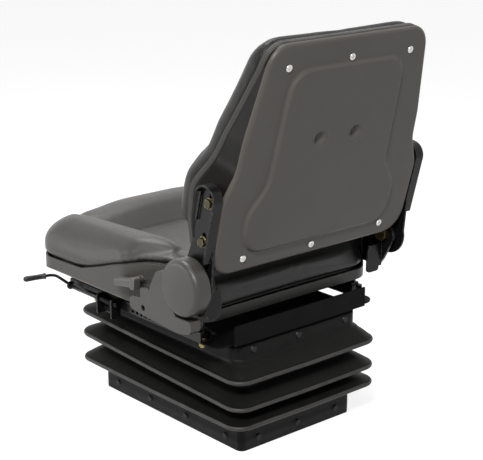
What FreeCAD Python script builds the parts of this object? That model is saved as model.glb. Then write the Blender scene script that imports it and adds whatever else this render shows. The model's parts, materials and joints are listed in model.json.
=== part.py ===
# Tractor seat with a reclining steel backed backrest, slide rails and a scissor
# suspension inside a three fold rubber boot. Millimetres, +Z up, -Y is the front of
# the seat, +X is the driver's left. The origin is the middle of the base's underside.

import FreeCAD
import Part
import math
import os

os.makedirs("parts", exist_ok=True)
V = FreeCAD.Vector

# Clearances
gap = 0.3               # between faces of two pieces that move past each other
bore_play = 0.06        # radial play of a pin that turns in its bore
link_play = 1.0         # radial play at the scissor's crossing, and of its rollers

# Base tray
base_w = 249.0
base_l = 374.0
base_h = 34.0
tray_t = 3.0
tray_corner = 10.0
mount_x = 180.0         # hole spacing of the base's mounting bolts
mount_y = 280.0
mount_r = 4.5
window_w = 64.0         # lightening window in the tray's floor
window_l = 44.0
window_y = 45.0

# Scissor
rear_axis_y = 150.0
lower_axis_z = 16.0
upper_axis_z = 172.0
scissor_angle = 30.0
arm_w = 22.0
arm_t = 6.0
outer_arm_x = 104.0     # inner face of the outer bars
inner_arm_x = 96.0
shaft_r = 8.0
axle_r = 6.0
roller_r = 12.0
roller_w = 9.0
cross_tube_r = 11.0
cross_tube_share = 0.30
ear_t = 3.0
ear_w = 26.0
track_l = 76.0
suspension_travel = 60.0

# Springs and their preload
spring_x = 50.0
spring_y = -55.0
spring_r = 25.0
spring_wire = 3.5
spring_turns = 5
spring_cup_h = 3.0
plate_t = 3.0
spring_plate_z = 166.0
spring_plate_w = 168.0
spring_plate_l = 66.0
wedge_w = 40.0
wedge_l = 52.0
wedge_slope = 0.2
wedge_thick = 22.0
spindle_r = 4.0
spindle_z = 189.0
knob_r = 19.0
knob_l = 22.0
knob_grips = 10

# Damper
damper_y = 105.0
damper_r = 16.0
damper_rod_r = 6.0
damper_eye_r = 9.0
damper_pin_r = 5.0
damper_low_z = 14.0
damper_high_z = 183.0
damper_body_top = 108.0

# Suspended frame
frame_z = 198.0         # top face of the frame, where the rails stand
frame_half_w = 140.0
skirt_half_w = 137.0
skirt_half_l = 192.0
skirt_bottom = 160.0
strap_half_w = 182.0
strap_front = -172.0
strap_rear = 193.0
strap_w = 52.0
strap_corner = 22.0
rear_wall_half_w = 148.0
rear_wall_y = 200.0
rear_wall_top = 229.0

# Boot
boot_t = 2.5
collar_low_h = 40.0
collar_low_corner = 12.0
ridge_half_w = 160.0
ridge_half_l = 222.0
ridge_corner = 52.0
valley_half_w = 127.5
valley_half_l = 190.0
valley_corner = 20.0
lip_h = 4.5
lip_in = 3.0
ridge_low_z = 59.0
ridge_mid_z = 99.0
ridge_top_z = 141.0
ridge_mid_tilt = -2.4
ridge_top_tilt = -1.5
collar_top_z = 188.0
collar_top_h = 26.0
collar_top_corner = 26.0
clip_r = 6.5
clip_h = 2.5

# Slide rails
rail_x = 161.0          # inner face of the left fixed rail
rail_w = 24.0
rail_h = 18.0
rail_t = 2.0
rail_front = -209.0
rail_rear = 157.0
rail_lip = 7.0
notch_pitch = 12.0
notch_l = 6.0
notch_h = 5.0
notch_z = 201.0
notch_count = 13
notch_first_y = -26.0
runner_web = 4.0
bolt_front_y = -142.0
bolt_rear_y = 148.0
rail_bolt_r = 4.0
rail_nut_r = 7.0
rail_nut_h = 6.0

# Slide lever
lever_x = 197.0
lever_z = 210.0
lever_r = 5.0
lever_front = -263.0
latch_front = -100.0
latch_rear = -56.0
latch_low = 184.0
latch_ear_x = 206.0
lever_grip_r = 10.0
lever_grip_l = 42.0
lever_out = 245.0
lever_tip_y = -287.0

# Seat pan
pan_z = 234.0           # underside of the pan's floor
pan_t = 3.0
pan_half_w = 235.0
pan_rear_half_w = 200.0
pan_front = -250.0
pan_rear = 170.0
pan_taper_start = 20.0
pan_taper_end = 106.0
pan_front_corner = 60.0
pan_rear_corner = 45.0
pan_edge_z = 248.0
pan_flat_half_w = 205.0
rear_lip_z = 252.0      # rim of the pan across the rear
rear_lip_y = 156.0

# Seat cushion
cushion_proud = 5.0     # how far the cushion stands out past the pan's rim
seat_top_z = 306.0
bolster_z = 352.0
bolster_inner = 168.0
bolster_slope = 26.0
bolster_end = 112.0
roll_crest_y = -190.0
roll_crest_z = 349.0
roll_rear_y = -118.0
shoulder_r = 42.0
nest_front = 92.0
nest_half_w = 190.0     # room between the bolsters for the back cushion

# Backrest
back_tilt = 14.27       # degrees from upright
back_y = 221.8
back_z = 349.65
back_top = 352.0
back_bottom = -25.0
back_half_w = 214.0
back_mid_half_w = 193.0
back_top_half_w = 170.0
back_corner = 42.0
shell_t = 3.0
shell_edge_r = 7.0
panel_rise = 3.5
dimple_x = 39.0
dimple_v = 189.0
dimple_r = 14.0
dimple_depth = 3.0
screw_r = 6.0
screw_h = 2.2
trim_w = 13.0
trim_t = 5.0
pad_bottom = -46.0      # lowest edge of the pad in front of the rim
pad_low_half_w = 184.0

# Hinges
hinge_y = 187.0
hinge_z = 313.0
hinge_pin_r = 8.0
bracket_t = 5.0
bracket_lobe = 26.0
arm_web = 3.0
arm_depth = 17.0
arm_length = 128.0
arm_lobe = 37.0
arm_bolt_high = 97.0
arm_bolt_low = 31.0
arm_bolt_w = -25.0
arm_bolt_r = 4.0
arm_bolt_head = 7.5
bush_r = 13.0
cover_r = 46.0
cover_x = 225.0
cover_t = 30.0
sector_r = 44.0
sector_teeth = 12
lever_pin_y = 128.0
lever_pin_z = 310.0
lever_pin_r = 5.0
lever_hub_r = 9.0
side_cover_x = 246.5
side_cover_t = 3.0
recline_stem_x = 236.5    # inner face of the lever's stem
recline_stem_t = 5.0
recline_grip_t = 11.5


# Helpers

def box(x0, x1, y0, y1, z0, z1):
    """A box between two corners."""
    return Part.makeBox(x1 - x0, y1 - y0, z1 - z0, V(x0, y0, z0))


def rod(r, start, end):
    """A round bar from one point to another."""
    a = V(*start)
    b = V(*end)
    return Part.makeCylinder(r, (b - a).Length, a, b - a)


def outline(points, plane="xy"):
    """A closed face through corners (a, b, radius), each rounded by its radius."""
    place = {"xy": lambda a, b: V(a, b, 0), "yz": lambda a, b: V(0, a, b), "xz": lambda a, b: V(a, 0, b)}[plane]
    corners = [(V(a, b, 0), r) for a, b, r in points]
    count = len(corners)
    cuts = []
    for i in range(count):
        here, r = corners[i]
        to_last = (corners[i - 1][0] - here).normalize()
        to_next = (corners[(i + 1) % count][0] - here).normalize()
        if r <= 0:
            cuts.append((here, here, here))
            continue
        half = to_last.getAngle(to_next) / 2
        back = r / math.tan(half)
        middle = here + (to_last + to_next).normalize() * (r / math.sin(half) - r)
        cuts.append((here + to_last * back, middle, here + to_next * back))
    edges = []
    for i in range(count):
        start, middle, end = [place(p.x, p.y) for p in cuts[i]]
        after = place(cuts[(i + 1) % count][0].x, cuts[(i + 1) % count][0].y)
        if (end - start).Length > 1e-6:
            edges.append(Part.Arc(start, middle, end).toShape())
        if (after - end).Length > 1e-6:
            edges.append(Part.LineSegment(end, after).toShape())
    return Part.Face(Part.Wire(edges))


def prism(points, plane, low, high):
    """The outline carried along the axis that its plane leaves out."""
    axis = {"xy": V(0, 0, 1), "yz": V(1, 0, 0), "xz": V(0, 1, 0)}[plane]
    face = outline(points, plane)
    face.translate(axis * low)
    return face.extrude(axis * (high - low))


def mirrored(shape):
    """The same shape on the other side of the seat's middle plane."""
    return shape.mirror(V(0, 0, 0), V(1, 0, 0))


def both(shape):
    """A left shape and its right twin as two solids."""
    return Part.makeCompound([shape, mirrored(shape)])


def fused(shapes):
    """One solid from pieces that meet."""
    whole = shapes[0].multiFuse(shapes[1:]) if len(shapes) > 1 else shapes[0]
    return whole.removeSplitter()


def symmetric(half):
    """Corners of a whole outline from the corners of its +X half."""
    return half + [(-a, b, r) for a, b, r in reversed(half)]


def rounded_rect(half_w, half_l, corner, z, tilt=0.0):
    """A rounded rectangle's wire at a height, tipped about X."""
    c = corner
    wire = outline([(half_w, -half_l, c), (half_w, half_l, c), (-half_w, half_l, c), (-half_w, -half_l, c)])
    wire = wire.OuterWire
    wire.rotate(V(0, 0, 0), V(1, 0, 0), tilt)
    wire.translate(V(0, 0, z))
    return wire


def save(name, shape):
    """Write one sub-part."""
    shape.exportStep("parts/" + name + ".step")
    print(name, round(shape.Volume / 1000.0, 1), "cm3", len(shape.Solids), "solids", shape.isValid())


# Scissor geometry shared by the arms, shafts and rollers

rise = upper_axis_z - lower_axis_z
arm_length_axis = rise / math.sin(math.radians(scissor_angle))
front_axis_y = rear_axis_y - arm_length_axis * math.cos(math.radians(scissor_angle))
cross_y = (rear_axis_y + front_axis_y) / 2
cross_z = (lower_axis_z + upper_axis_z) / 2
outer_arm_out = outer_arm_x + arm_t
inner_arm_out = inner_arm_x + arm_t
roller_x = outer_arm_out + 1.5
ear_x = outer_arm_out + ear_t
track_front = front_axis_y - track_l * 0.60
track_rear = track_front + track_l
tray_half_w = base_w / 2
tray_half_l = base_l / 2
knob_rear = -skirt_half_l - boot_t - 2


def base_tray():
    """Pressed tray with shaft ears, roller tracks, spring cups and a damper clevis."""
    corner = tray_corner
    out = [(tray_half_w, -tray_half_l, corner), (tray_half_w, tray_half_l, corner),
           (-tray_half_w, tray_half_l, corner), (-tray_half_w, -tray_half_l, corner)]
    in_w = tray_half_w - tray_t
    in_l = tray_half_l - tray_t
    inner = corner - tray_t
    hollow = [(in_w, -in_l, inner), (in_w, in_l, inner), (-in_w, in_l, inner), (-in_w, -in_l, inner)]
    tray = prism(out, "xy", 0, base_h).cut(prism(hollow, "xy", tray_t, base_h + 1))
    for x in (-mount_x / 2, mount_x / 2):
        for y in (-mount_y / 2, mount_y / 2):
            tray = tray.cut(rod(mount_r, (x, y, -1), (x, y, tray_t + 1)))
    half_w = window_w / 2
    half_l = window_l / 2
    window = [(half_w, -half_l, 12), (half_w, half_l, 12), (-half_w, half_l, 12), (-half_w, -half_l, 12)]
    hole = prism(window, "xy", -1, tray_t + 1)
    hole.translate(V(0, window_y, 0))
    tray = tray.cut(hole)
    ear = prism([(rear_axis_y - ear_w / 2, tray_t, 0), (rear_axis_y + ear_w / 2, tray_t, 0),
                 (rear_axis_y + ear_w / 2, lower_axis_z + ear_w / 2, ear_w / 2 - 0.1),
                 (rear_axis_y - ear_w / 2, lower_axis_z + ear_w / 2, ear_w / 2 - 0.1)], "yz", ear_x, ear_x + ear_t)
    ear = ear.cut(rod(shaft_r, (ear_x - 1, rear_axis_y, lower_axis_z), (ear_x + ear_t + 1, rear_axis_y, lower_axis_z)))
    guide_z = lower_axis_z + roller_r + link_play
    guide = box(outer_arm_out + 1, in_w + 1, track_front, track_rear, guide_z, guide_z + tray_t)
    clevis = box(damper_eye_r, damper_eye_r + ear_t, damper_y - damper_eye_r, damper_y + damper_eye_r,
                 tray_t, damper_low_z + damper_eye_r)
    clevis = clevis.cut(rod(damper_pin_r, (0, damper_y, damper_low_z), (damper_eye_r + ear_t + 1, damper_y, damper_low_z)))
    cup = rod(spring_r - spring_wire - 1, (spring_x, spring_y, tray_t), (spring_x, spring_y, tray_t + 2 * spring_cup_h))
    pieces = [tray]
    for piece in (ear, guide, clevis, cup):
        pieces += [piece, mirrored(piece)]
    return fused(pieces)


def bar(y0, z0, y1, z1, x0, end_holes, middle_hole):
    """Flat scissor bar between two axes, with its bores, standing at x0."""
    length = math.hypot(y1 - y0, z1 - z0)
    half = arm_w / 2
    flat = prism([(-half, -half, half - 0.1), (length + half, -half, half - 0.1),
                  (length + half, half, half - 0.1), (-half, half, half - 0.1)], "yz", x0, x0 + arm_t)
    for at, r in ((0, end_holes[0]), (length, end_holes[1]), (length / 2, middle_hole)):
        flat = flat.cut(rod(r, (x0 - 1, at, 0), (x0 + arm_t + 1, at, 0)))
    flat.rotate(V(0, 0, 0), V(1, 0, 0), math.degrees(math.atan2(z1 - z0, y1 - y0)))
    flat.translate(V(0, y0, z0))
    return flat


def along(share, y0, z0, y1, z1):
    """A point part of the way between two axes."""
    return y0 + (y1 - y0) * share, z0 + (z1 - z0) * share


def outer_arms():
    """The wide pair of bars, joined by a welded cross tube."""
    path = (rear_axis_y, lower_axis_z, front_axis_y, upper_axis_z)
    side = bar(*path, outer_arm_x, (shaft_r + bore_play, axle_r), shaft_r)
    y, z = along(cross_tube_share, *path)
    tube = rod(cross_tube_r, (-outer_arm_x, y, z), (outer_arm_x, y, z))
    return fused([side, mirrored(side), tube])


def inner_arms():
    """The narrow pair of bars, hung from the frame, joined by a welded cross tube."""
    path = (rear_axis_y, upper_axis_z, front_axis_y, lower_axis_z)
    side = bar(*path, inner_arm_x, (shaft_r + bore_play, axle_r), shaft_r + link_play)
    y, z = along(cross_tube_share, *path)
    tube = rod(cross_tube_r, (-inner_arm_x, y, z), (inner_arm_x, y, z))
    return fused([side, mirrored(side), tube])


def cross_shaft(r, half_w, y, z):
    """A shaft across the seat."""
    return rod(r, (-half_w, y, z), (half_w, y, z))


def rollers(z):
    """A pair of flanged rollers on one axle."""
    wheel = rod(roller_r, (roller_x, front_axis_y, z), (roller_x + roller_w, front_axis_y, z))
    bore = rod(axle_r + bore_play, (roller_x - 1, front_axis_y, z), (roller_x + roller_w + 1, front_axis_y, z))
    return both(wheel.cut(bore))


def coil_springs():
    """Two compression springs between the tray's cups and the spring plate."""
    low = tray_t + spring_wire
    high = spring_plate_z - spring_wire
    pitch = (high - low) / spring_turns
    helix = Part.makeHelix(pitch, high - low, spring_r)
    section = Part.Wire(Part.makeCircle(spring_wire, V(spring_r, 0, 0), V(0, 1, 0)))
    coil = Part.Wire(helix).makePipeShell([section], True, True)
    ring_low = Part.makeTorus(spring_r, spring_wire)
    ring_high = ring_low.copy()
    ring_high.translate(V(0, 0, high - low))
    spring = coil.fuse([ring_low, ring_high])
    spring.translate(V(spring_x, spring_y, low))
    return both(spring)


def spring_plate():
    """Upper seat of both springs, with the sloped pad that the wedge pushes on."""
    half_w = spring_plate_w / 2
    half_l = spring_plate_l / 2
    plate = box(-half_w, half_w, spring_y - half_l, spring_y + half_l, spring_plate_z, spring_plate_z + plate_t)
    rear = spring_y + wedge_l / 2
    front = spring_y - wedge_l / 2
    foot = spring_plate_z + plate_t
    low = frame_z - plate_t - gap - wedge_thick - gap
    pad = prism([(front, foot - 1, 0), (rear, foot - 1, 0), (rear, low, 0), (front, low + wedge_l * wedge_slope, 0)],
                "yz", -wedge_w / 2, wedge_w / 2)
    return fused([plate, pad])


def preload_wedge():
    """Wedge that the spindle draws forward between the frame and the spring plate."""
    rear = spring_y + wedge_l / 2
    front = spring_y - wedge_l / 2
    top = frame_z - plate_t - gap
    wedge = prism([(front, top, 0), (front, top - wedge_thick + wedge_l * wedge_slope, 0), (rear, top - wedge_thick, 0),
                   (rear, top, 0)], "yz", -wedge_w / 2, wedge_w / 2)
    return wedge.cut(rod(spindle_r + bore_play, (0, front - 1, spindle_z), (0, rear + 1, spindle_z)))


def adjuster_spindle():
    """Threaded spindle that the knob turns."""
    shank = rod(spindle_r, (0, knob_rear - knob_l + 3, spindle_z), (0, spring_y + wedge_l / 2 + 8, spindle_z))
    collar = rod(spindle_r + 1.5, (0, -skirt_half_l + tray_t + gap, spindle_z), (0, -skirt_half_l + 8, spindle_z))
    return fused([shank, collar])


def adjuster_knob():
    """Lobed hand knob on the front end of the spindle."""
    rear = knob_rear
    front = rear - knob_l
    knob = rod(knob_r, (0, front, spindle_z), (0, rear, spindle_z))
    knob = knob.makeFillet(4, [e for e in knob.Edges if abs(e.BoundBox.YMax - front) < 0.01 and e.Length > 60])
    for i in range(knob_grips):
        angle = 2 * math.pi * i / knob_grips
        x = (knob_r + 2) * math.cos(angle)
        z = spindle_z + (knob_r + 2) * math.sin(angle)
        knob = knob.cut(rod(4, (x, front - 1, z), (x, rear + 1, z)))
    return knob.cut(rod(spindle_r, (0, front + 3, spindle_z), (0, rear + 1, spindle_z)))


def damper_body():
    """Damper tube with its lower eye."""
    tube = rod(damper_r, (0, damper_y, damper_low_z + damper_eye_r), (0, damper_y, damper_body_top))
    eye = rod(damper_eye_r, (-damper_eye_r + gap, damper_y, damper_low_z), (damper_eye_r - gap, damper_y, damper_low_z))
    neck = rod(damper_rod_r, (0, damper_y, damper_low_z), (0, damper_y, damper_low_z + damper_eye_r + 1))
    body = fused([tube, neck, eye])
    body = body.cut(rod(damper_pin_r, (-damper_eye_r, damper_y, damper_low_z), (damper_eye_r, damper_y, damper_low_z)))
    return body.cut(rod(damper_rod_r + bore_play, (0, damper_y, damper_low_z + 15), (0, damper_y, damper_body_top + 1)))


def damper_rod():
    """Polished rod with its upper eye."""
    shank = rod(damper_rod_r, (0, damper_y, damper_body_top - 16), (0, damper_y, damper_high_z))
    eye = rod(damper_eye_r, (-damper_eye_r + gap, damper_y, damper_high_z), (damper_eye_r - gap, damper_y, damper_high_z))
    return fused([shank, eye]).cut(
        rod(damper_pin_r, (-damper_eye_r, damper_y, damper_high_z), (damper_eye_r, damper_y, damper_high_z)))


def top_frame():
    """Suspended frame: top plate, skirt, rail straps, rear wall, ears and tracks."""
    z0 = frame_z - plate_t
    c = collar_top_corner - boot_t
    out = [(skirt_half_w, -skirt_half_l, c), (skirt_half_w, skirt_half_l, c),
           (-skirt_half_w, skirt_half_l, c), (-skirt_half_w, -skirt_half_l, c)]
    w = skirt_half_w - plate_t
    n = skirt_half_l - plate_t
    hollow = [(w, -n, c - plate_t), (w, n, c - plate_t), (-w, n, c - plate_t), (-w, -n, c - plate_t)]
    skirt = prism(out, "xy", skirt_bottom, frame_z).cut(prism(hollow, "xy", skirt_bottom - 1, z0))
    s = strap_half_w
    k = strap_corner
    front_strap = prism([(s, strap_front, k), (s, strap_front + strap_w, 6), (-s, strap_front + strap_w, 6),
                         (-s, strap_front, k)], "xy", z0, frame_z)
    rear_strap = prism([(s, strap_rear - strap_w, 6), (s, strap_rear, k), (-s, strap_rear, k),
                        (-s, strap_rear - strap_w, 6)], "xy", z0, frame_z)
    wall = box(-rear_wall_half_w, rear_wall_half_w, rear_wall_y - plate_t, rear_wall_y, z0, rear_wall_top)
    sill = box(-frame_half_w, frame_half_w, skirt_half_l - c, rear_wall_y - 1, z0, frame_z)
    ear = box(ear_x, ear_x + ear_t, rear_axis_y - ear_w / 2, rear_axis_y + ear_w / 2, upper_axis_z - ear_w / 2, z0 + 1)
    ear = ear.cut(rod(shaft_r, (ear_x - 1, rear_axis_y, upper_axis_z), (ear_x + ear_t + 1, rear_axis_y, upper_axis_z)))
    low = upper_axis_z - roller_r - link_play - plate_t
    high = upper_axis_z + roller_r + link_play
    web_x = roller_x + roller_w + 1.5
    web = box(web_x, web_x + plate_t, track_front, track_rear, low, z0 + 1)
    ledge = box(outer_arm_out + 1, web_x + 1, track_front, track_rear, low, low + plate_t)
    guide = box(outer_arm_out + 1, web_x + 1, track_front, track_rear, high, high + plate_t)
    clevis = box(damper_eye_r, damper_eye_r + ear_t, damper_y - damper_eye_r, damper_y + damper_eye_r,
                 damper_high_z - damper_eye_r, z0 + 1)
    clevis = clevis.cut(
        rod(damper_pin_r, (0, damper_y, damper_high_z), (damper_eye_r + ear_t + 1, damper_y, damper_high_z)))
    pieces = [skirt, front_strap, rear_strap, wall, sill]
    for piece in (ear, web, ledge, guide, clevis):
        pieces += [piece, mirrored(piece)]
    frame = fused(pieces)
    middle = rail_x + rail_w / 2
    for x in (-middle, middle):
        for y in (bolt_front_y, bolt_rear_y):
            frame = frame.cut(rod(rail_bolt_r, (x, y, z0 - 1), (x, y, frame_z + 1)))
    return frame.cut(
        rod(spindle_r + gap, (0, -skirt_half_l - 1, spindle_z), (0, -skirt_half_l + plate_t + 1, spindle_z)))


def boot_sections(inset):
    """Wires of the boot from the bottom up, moved in by the wall's thickness."""
    low_w = tray_half_w + boot_t + 0.5 - inset
    low_l = tray_half_l + boot_t + 0.5 - inset
    top_w = skirt_half_w + boot_t + 0.5 - inset
    top_l = skirt_half_l + boot_t + 0.5 - inset
    corner = collar_low_corner - inset
    wires = [rounded_rect(low_w, low_l, corner, -inset), rounded_rect(low_w, low_l, corner, collar_low_h)]
    folds = ((ridge_low_z, 0.0, None), (ridge_mid_z, ridge_mid_tilt, (ridge_low_z + ridge_mid_z) / 2),
             (ridge_top_z, ridge_top_tilt, (ridge_mid_z + ridge_top_z) / 2))
    for ridge_z, tilt, valley_z in folds:
        if valley_z:
            wires.append(rounded_rect(valley_half_w - inset, valley_half_l - inset, valley_corner - inset, valley_z,
                                      tilt * 0.75))
        w = ridge_half_w - inset
        n = ridge_half_l - inset
        c = ridge_corner - inset
        wires.append(rounded_rect(w - lip_in, n - lip_in, c - lip_in, ridge_z - lip_h, tilt))
        wires.append(rounded_rect(w, n, c, ridge_z, tilt))
        wires.append(rounded_rect(w - lip_in, n - lip_in, c - lip_in, ridge_z + lip_h, tilt))
    corner = collar_top_corner - inset
    wires.append(rounded_rect(top_w, top_l, corner, collar_top_z - collar_top_h))
    wires.append(rounded_rect(top_w, top_l, corner, collar_top_z + inset))
    return wires


def boot():
    """Rubber boot with three pleats, open at the top and the bottom."""
    outside = Part.makeLoft(boot_sections(0.0), True, True)
    inside = Part.makeLoft(boot_sections(boot_t), True, True)
    face_y = skirt_half_l + boot_t + 0.5
    notch = box(-spindle_r - 4, spindle_r + 4, -face_y - 1, -face_y + boot_t + 1, spindle_z - spindle_r - 3, collar_top_z + 1)
    return outside.cut(inside).cut(notch)


def clip(x, y, z, nx, ny):
    """Push clip with a low domed head that faces out."""
    a = V(x, y, z)
    n = V(nx, ny, 0)
    head = Part.makeCone(clip_r, clip_r - 1.5, clip_h, a, n)
    return head


def lower_clips():
    """Push clips of the bottom collar."""
    face_x = tray_half_w + boot_t + 0.5
    face_y = tray_half_l + boot_t + 0.5
    clips = []
    for y in (-150.0, -55.0, 45.0, 150.0):
        clips += [clip(face_x, y, 17, 1, 0), clip(-face_x, y, 17, -1, 0)]
    for x in (-90.0, 0.0, 90.0):
        clips += [clip(x, face_y, 17, 0, 1), clip(x, -face_y, 17, 0, -1)]
    return Part.makeCompound(clips)


def upper_clips():
    """Push clips of the top collar."""
    face_x = skirt_half_w + boot_t + 0.5
    face_y = skirt_half_l + boot_t + 0.5
    z = collar_top_z - 9
    clips = []
    for y in (-110.0, 0.0, 110.0):
        clips += [clip(face_x, y, z, 1, 0), clip(-face_x, y, z, -1, 0)]
    for x in (-105.0, 5.0, 105.0):
        clips.append(clip(x, face_y, z, 0, 1))
    for x in (-105.0, -50.0, 50.0, 105.0):
        clips.append(clip(x, -face_y, z, 0, -1))
    return Part.makeCompound(clips)


def fixed_rail():
    """Left C rail bolted to the straps, with its row of locking notches."""
    x0 = rail_x
    x1 = rail_x + rail_w
    z0 = frame_z
    z1 = frame_z + rail_h
    t = rail_t
    rail = prism([(x0, z0, 0), (x1, z0, 0), (x1, z1, 2.5), (x1 - rail_lip - t, z1, 0), (x1 - rail_lip - t, z1 - t, 0),
                  (x1 - t, z1 - t, 0), (x1 - t, z0 + t, 0), (x0 + t, z0 + t, 0), (x0 + t, z1 - t, 0),
                  (x0 + rail_lip + t, z1 - t, 0), (x0 + rail_lip + t, z1, 0), (x0, z1, 2.5)], "xz", rail_front, rail_rear)
    for i in range(notch_count):
        y = notch_first_y + i * notch_pitch
        rail = rail.cut(box(x1 - t - 0.5, x1 + 1, y, y + notch_l, notch_z, notch_z + notch_h))
    middle = (x0 + x1) / 2
    for y in (bolt_front_y, bolt_rear_y):
        rail = rail.cut(rod(rail_bolt_r, (middle, y, z0 - 1), (middle, y, z0 + t + 1)))
    return rail


def runner():
    """Left runner that slides in the fixed rail and carries the pan."""
    middle = rail_x + rail_w / 2
    half = rail_w / 2 - rail_t - gap
    low = frame_z + rail_t + 5.5
    top = pan_z
    cap = frame_z + rail_h + gap
    n = runner_web / 2
    m = rail_w / 2
    return prism([(middle - half, low, 0), (middle + half, low, 0), (middle + half, low + 3, 0), (middle + n, low + 3, 0),
                  (middle + n, cap, 0), (middle + m - 3, cap, 0), (middle + m - 3, cap + 3, 0), (middle + n, cap + 3, 0),
                  (middle + n, top - 3, 0), (middle + m, top - 3, 0), (middle + m, top, 0), (middle - m, top, 0),
                  (middle - m, top - 3, 0), (middle - n, top - 3, 0), (middle - n, cap + 3, 0),
                  (middle - m + 3, cap + 3, 0), (middle - m + 3, cap, 0), (middle - n, cap, 0),
                  (middle - n, low + 3, 0), (middle - half, low + 3, 0)], "xz", rail_front + 3, rail_rear - 6)


def rail_fasteners(part):
    """Bolts, or their nuts, that hold both fixed rails to the straps."""
    middle = rail_x + rail_w / 2
    z0 = frame_z - plate_t
    solids = []
    for x in (-middle, middle):
        for y in (bolt_front_y, bolt_rear_y):
            if part == "bolts":
                shank = rod(rail_bolt_r, (x, y, z0 - rail_nut_h - 3), (x, y, frame_z + rail_t))
                head = rod(rail_nut_r - 1, (x, y, frame_z + rail_t), (x, y, frame_z + rail_t + 3))
                solids.append(fused([shank, head]))
            else:
                nut = Part.Face(Part.makePolygon([
                    V(x + rail_nut_r * math.cos(math.radians(60 * i)), y + rail_nut_r * math.sin(math.radians(60 * i)),
                      z0 - rail_nut_h) for i in range(7)])).extrude(V(0, 0, rail_nut_h))
                solids.append(nut.cut(rod(rail_bolt_r, (x, y, z0 - rail_nut_h - 1), (x, y, z0 + 1))))
    return Part.makeCompound(solids)


def latch_bracket():
    """Folded bracket under the pan that carries the slide lever beside the left rail."""
    x0 = rail_x + rail_w + 1.3
    x1 = x0 + 3
    plate = box(x0, x1, latch_front, latch_rear, latch_low, pan_z)
    foot = box(x0, pan_flat_half_w - 4, latch_front, latch_rear, pan_z - 3, pan_z)
    ear = prism([(x0 + 1, latch_low, 0), (latch_ear_x, latch_low, 3), (latch_ear_x, lever_z + 10, 5), (x0 + 1, lever_z + 10, 0)],
                "xz", latch_front, latch_front + 3)
    rear_ear = ear.copy()
    rear_ear.translate(V(0, latch_rear - latch_front - 3, 0))
    bracket = fused([plate, foot, ear, rear_ear])
    window = box(x0 - 1, x1 + 1, latch_front + 8, latch_rear - 8, latch_low + 4, lever_z - 2)
    bracket = bracket.cut(window)
    return bracket.cut(
        rod(lever_r + bore_play, (lever_x, latch_front - 1, lever_z), (lever_x, latch_rear + 1, lever_z)))


def slide_lever():
    """Bent rod with the latch finger that reaches for the rail's notches."""
    turn = 16.0
    start = V(lever_x, latch_rear + 4, lever_z)
    bend = V(lever_x, lever_front, lever_z)
    tip = V(lever_out, lever_tip_y, lever_z)
    ahead = V(0, 1, 0)
    aside = (tip - bend).normalize()
    half = ahead.getAngle(aside) / 2
    back = turn / math.tan(half)
    middle = bend + (ahead + aside).normalize() * (turn / math.sin(half) - turn)
    path = Part.Wire([
        Part.LineSegment(start, bend + ahead * back).toShape(),
        Part.Arc(bend + ahead * back, middle, bend + aside * back).toShape(),
        Part.LineSegment(bend + aside * back, tip).toShape()])
    section = Part.Wire(Part.makeCircle(lever_r, start, V(0, 1, 0)))
    shank = path.makePipeShell([section], True, False)
    front = latch_front + 11
    rear = latch_rear - 11
    x0 = rail_x + rail_w + gap + 0.1
    finger = prism([(x0, frame_z + 2.6, 0), (x0 + 4, frame_z + 2.6, 0), (lever_x + 4, lever_z - 2, 0),
                    (lever_x, lever_z + 3, 0), (x0, frame_z + 5.6, 0)], "xz", front, rear)
    return fused([shank, finger])


def slide_lever_grip():
    """Moulded sleeve on the slide lever's outer end."""
    bend = V(lever_x, lever_front, lever_z)
    tip = V(lever_out, lever_tip_y, lever_z)
    aside = (tip - bend).normalize()
    start = tip - aside * (lever_grip_l - 6)
    grip = Part.makeCylinder(lever_grip_r, lever_grip_l, start, aside)
    grip = grip.makeFillet(lever_grip_r * 0.5, [e for e in grip.Edges if e.Length > 40 and e.isClosed()][:2])
    return grip.cut(Part.makeCylinder(lever_r, lever_grip_l - 6, start, aside))


# Plan of the pan and the cushion

def seat_plan(grow):
    """Half plan of the seat, grown outwards all round, as corners."""
    side = pan_half_w + grow
    rear = pan_rear_half_w + grow
    return [(side, pan_front - grow, pan_front_corner + grow), (side, pan_taper_start, 60),
            (rear, pan_taper_end, 60), (rear, pan_rear + grow, pan_rear_corner + grow)]


def rim_profile(low, front, rear, drop=0.0):
    """Side outline of the pan up to its rim, the line where cushion and pan part."""
    return [(front, low, 0), (rear, low, 0), (rear, rear_lip_z - drop, 0), (rear_lip_y, rear_lip_z - drop, 8),
            (rear_lip_y - 12, 319 - drop, 8), (122, 319 - drop, 20), (58, 316 - drop, 60),
            (-2, 301 - drop, 60), (-100, 272 - drop, 60), (front, 266 - drop, 0)]


def pan_body(inset):
    """Closed form of the pan, moved in by the wall on its sides and floor."""
    plan = prism(symmetric(seat_plan(-inset)), "xy", pan_z + inset, 330)
    side = pan_half_w - inset
    flat = pan_flat_half_w - inset
    low = pan_z + inset
    edge = pan_edge_z + inset
    across = prism([(-side, 330, 0), (-side, edge, 6), (-flat, low, 20), (flat, low, 20), (side, edge, 6),
                    (side, 330, 0)], "xz", -300, 300)
    front = pan_front + inset
    nose = prism([(front, edge, 10), (front + 55, low, 40), (300, low, 0), (300, 340, 0), (front, 340, 0)],
                 "yz", -300, 300)
    return plan.common(across).common(nose)


def seat_pan():
    """Pressed pan, open at the top, cut off along the rim line."""
    shell = pan_body(0.0).cut(pan_body(pan_t))
    keep = prism(rim_profile(200, -300, 300), "yz", -300, 300)
    return shell.common(keep).removeSplitter()


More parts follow.
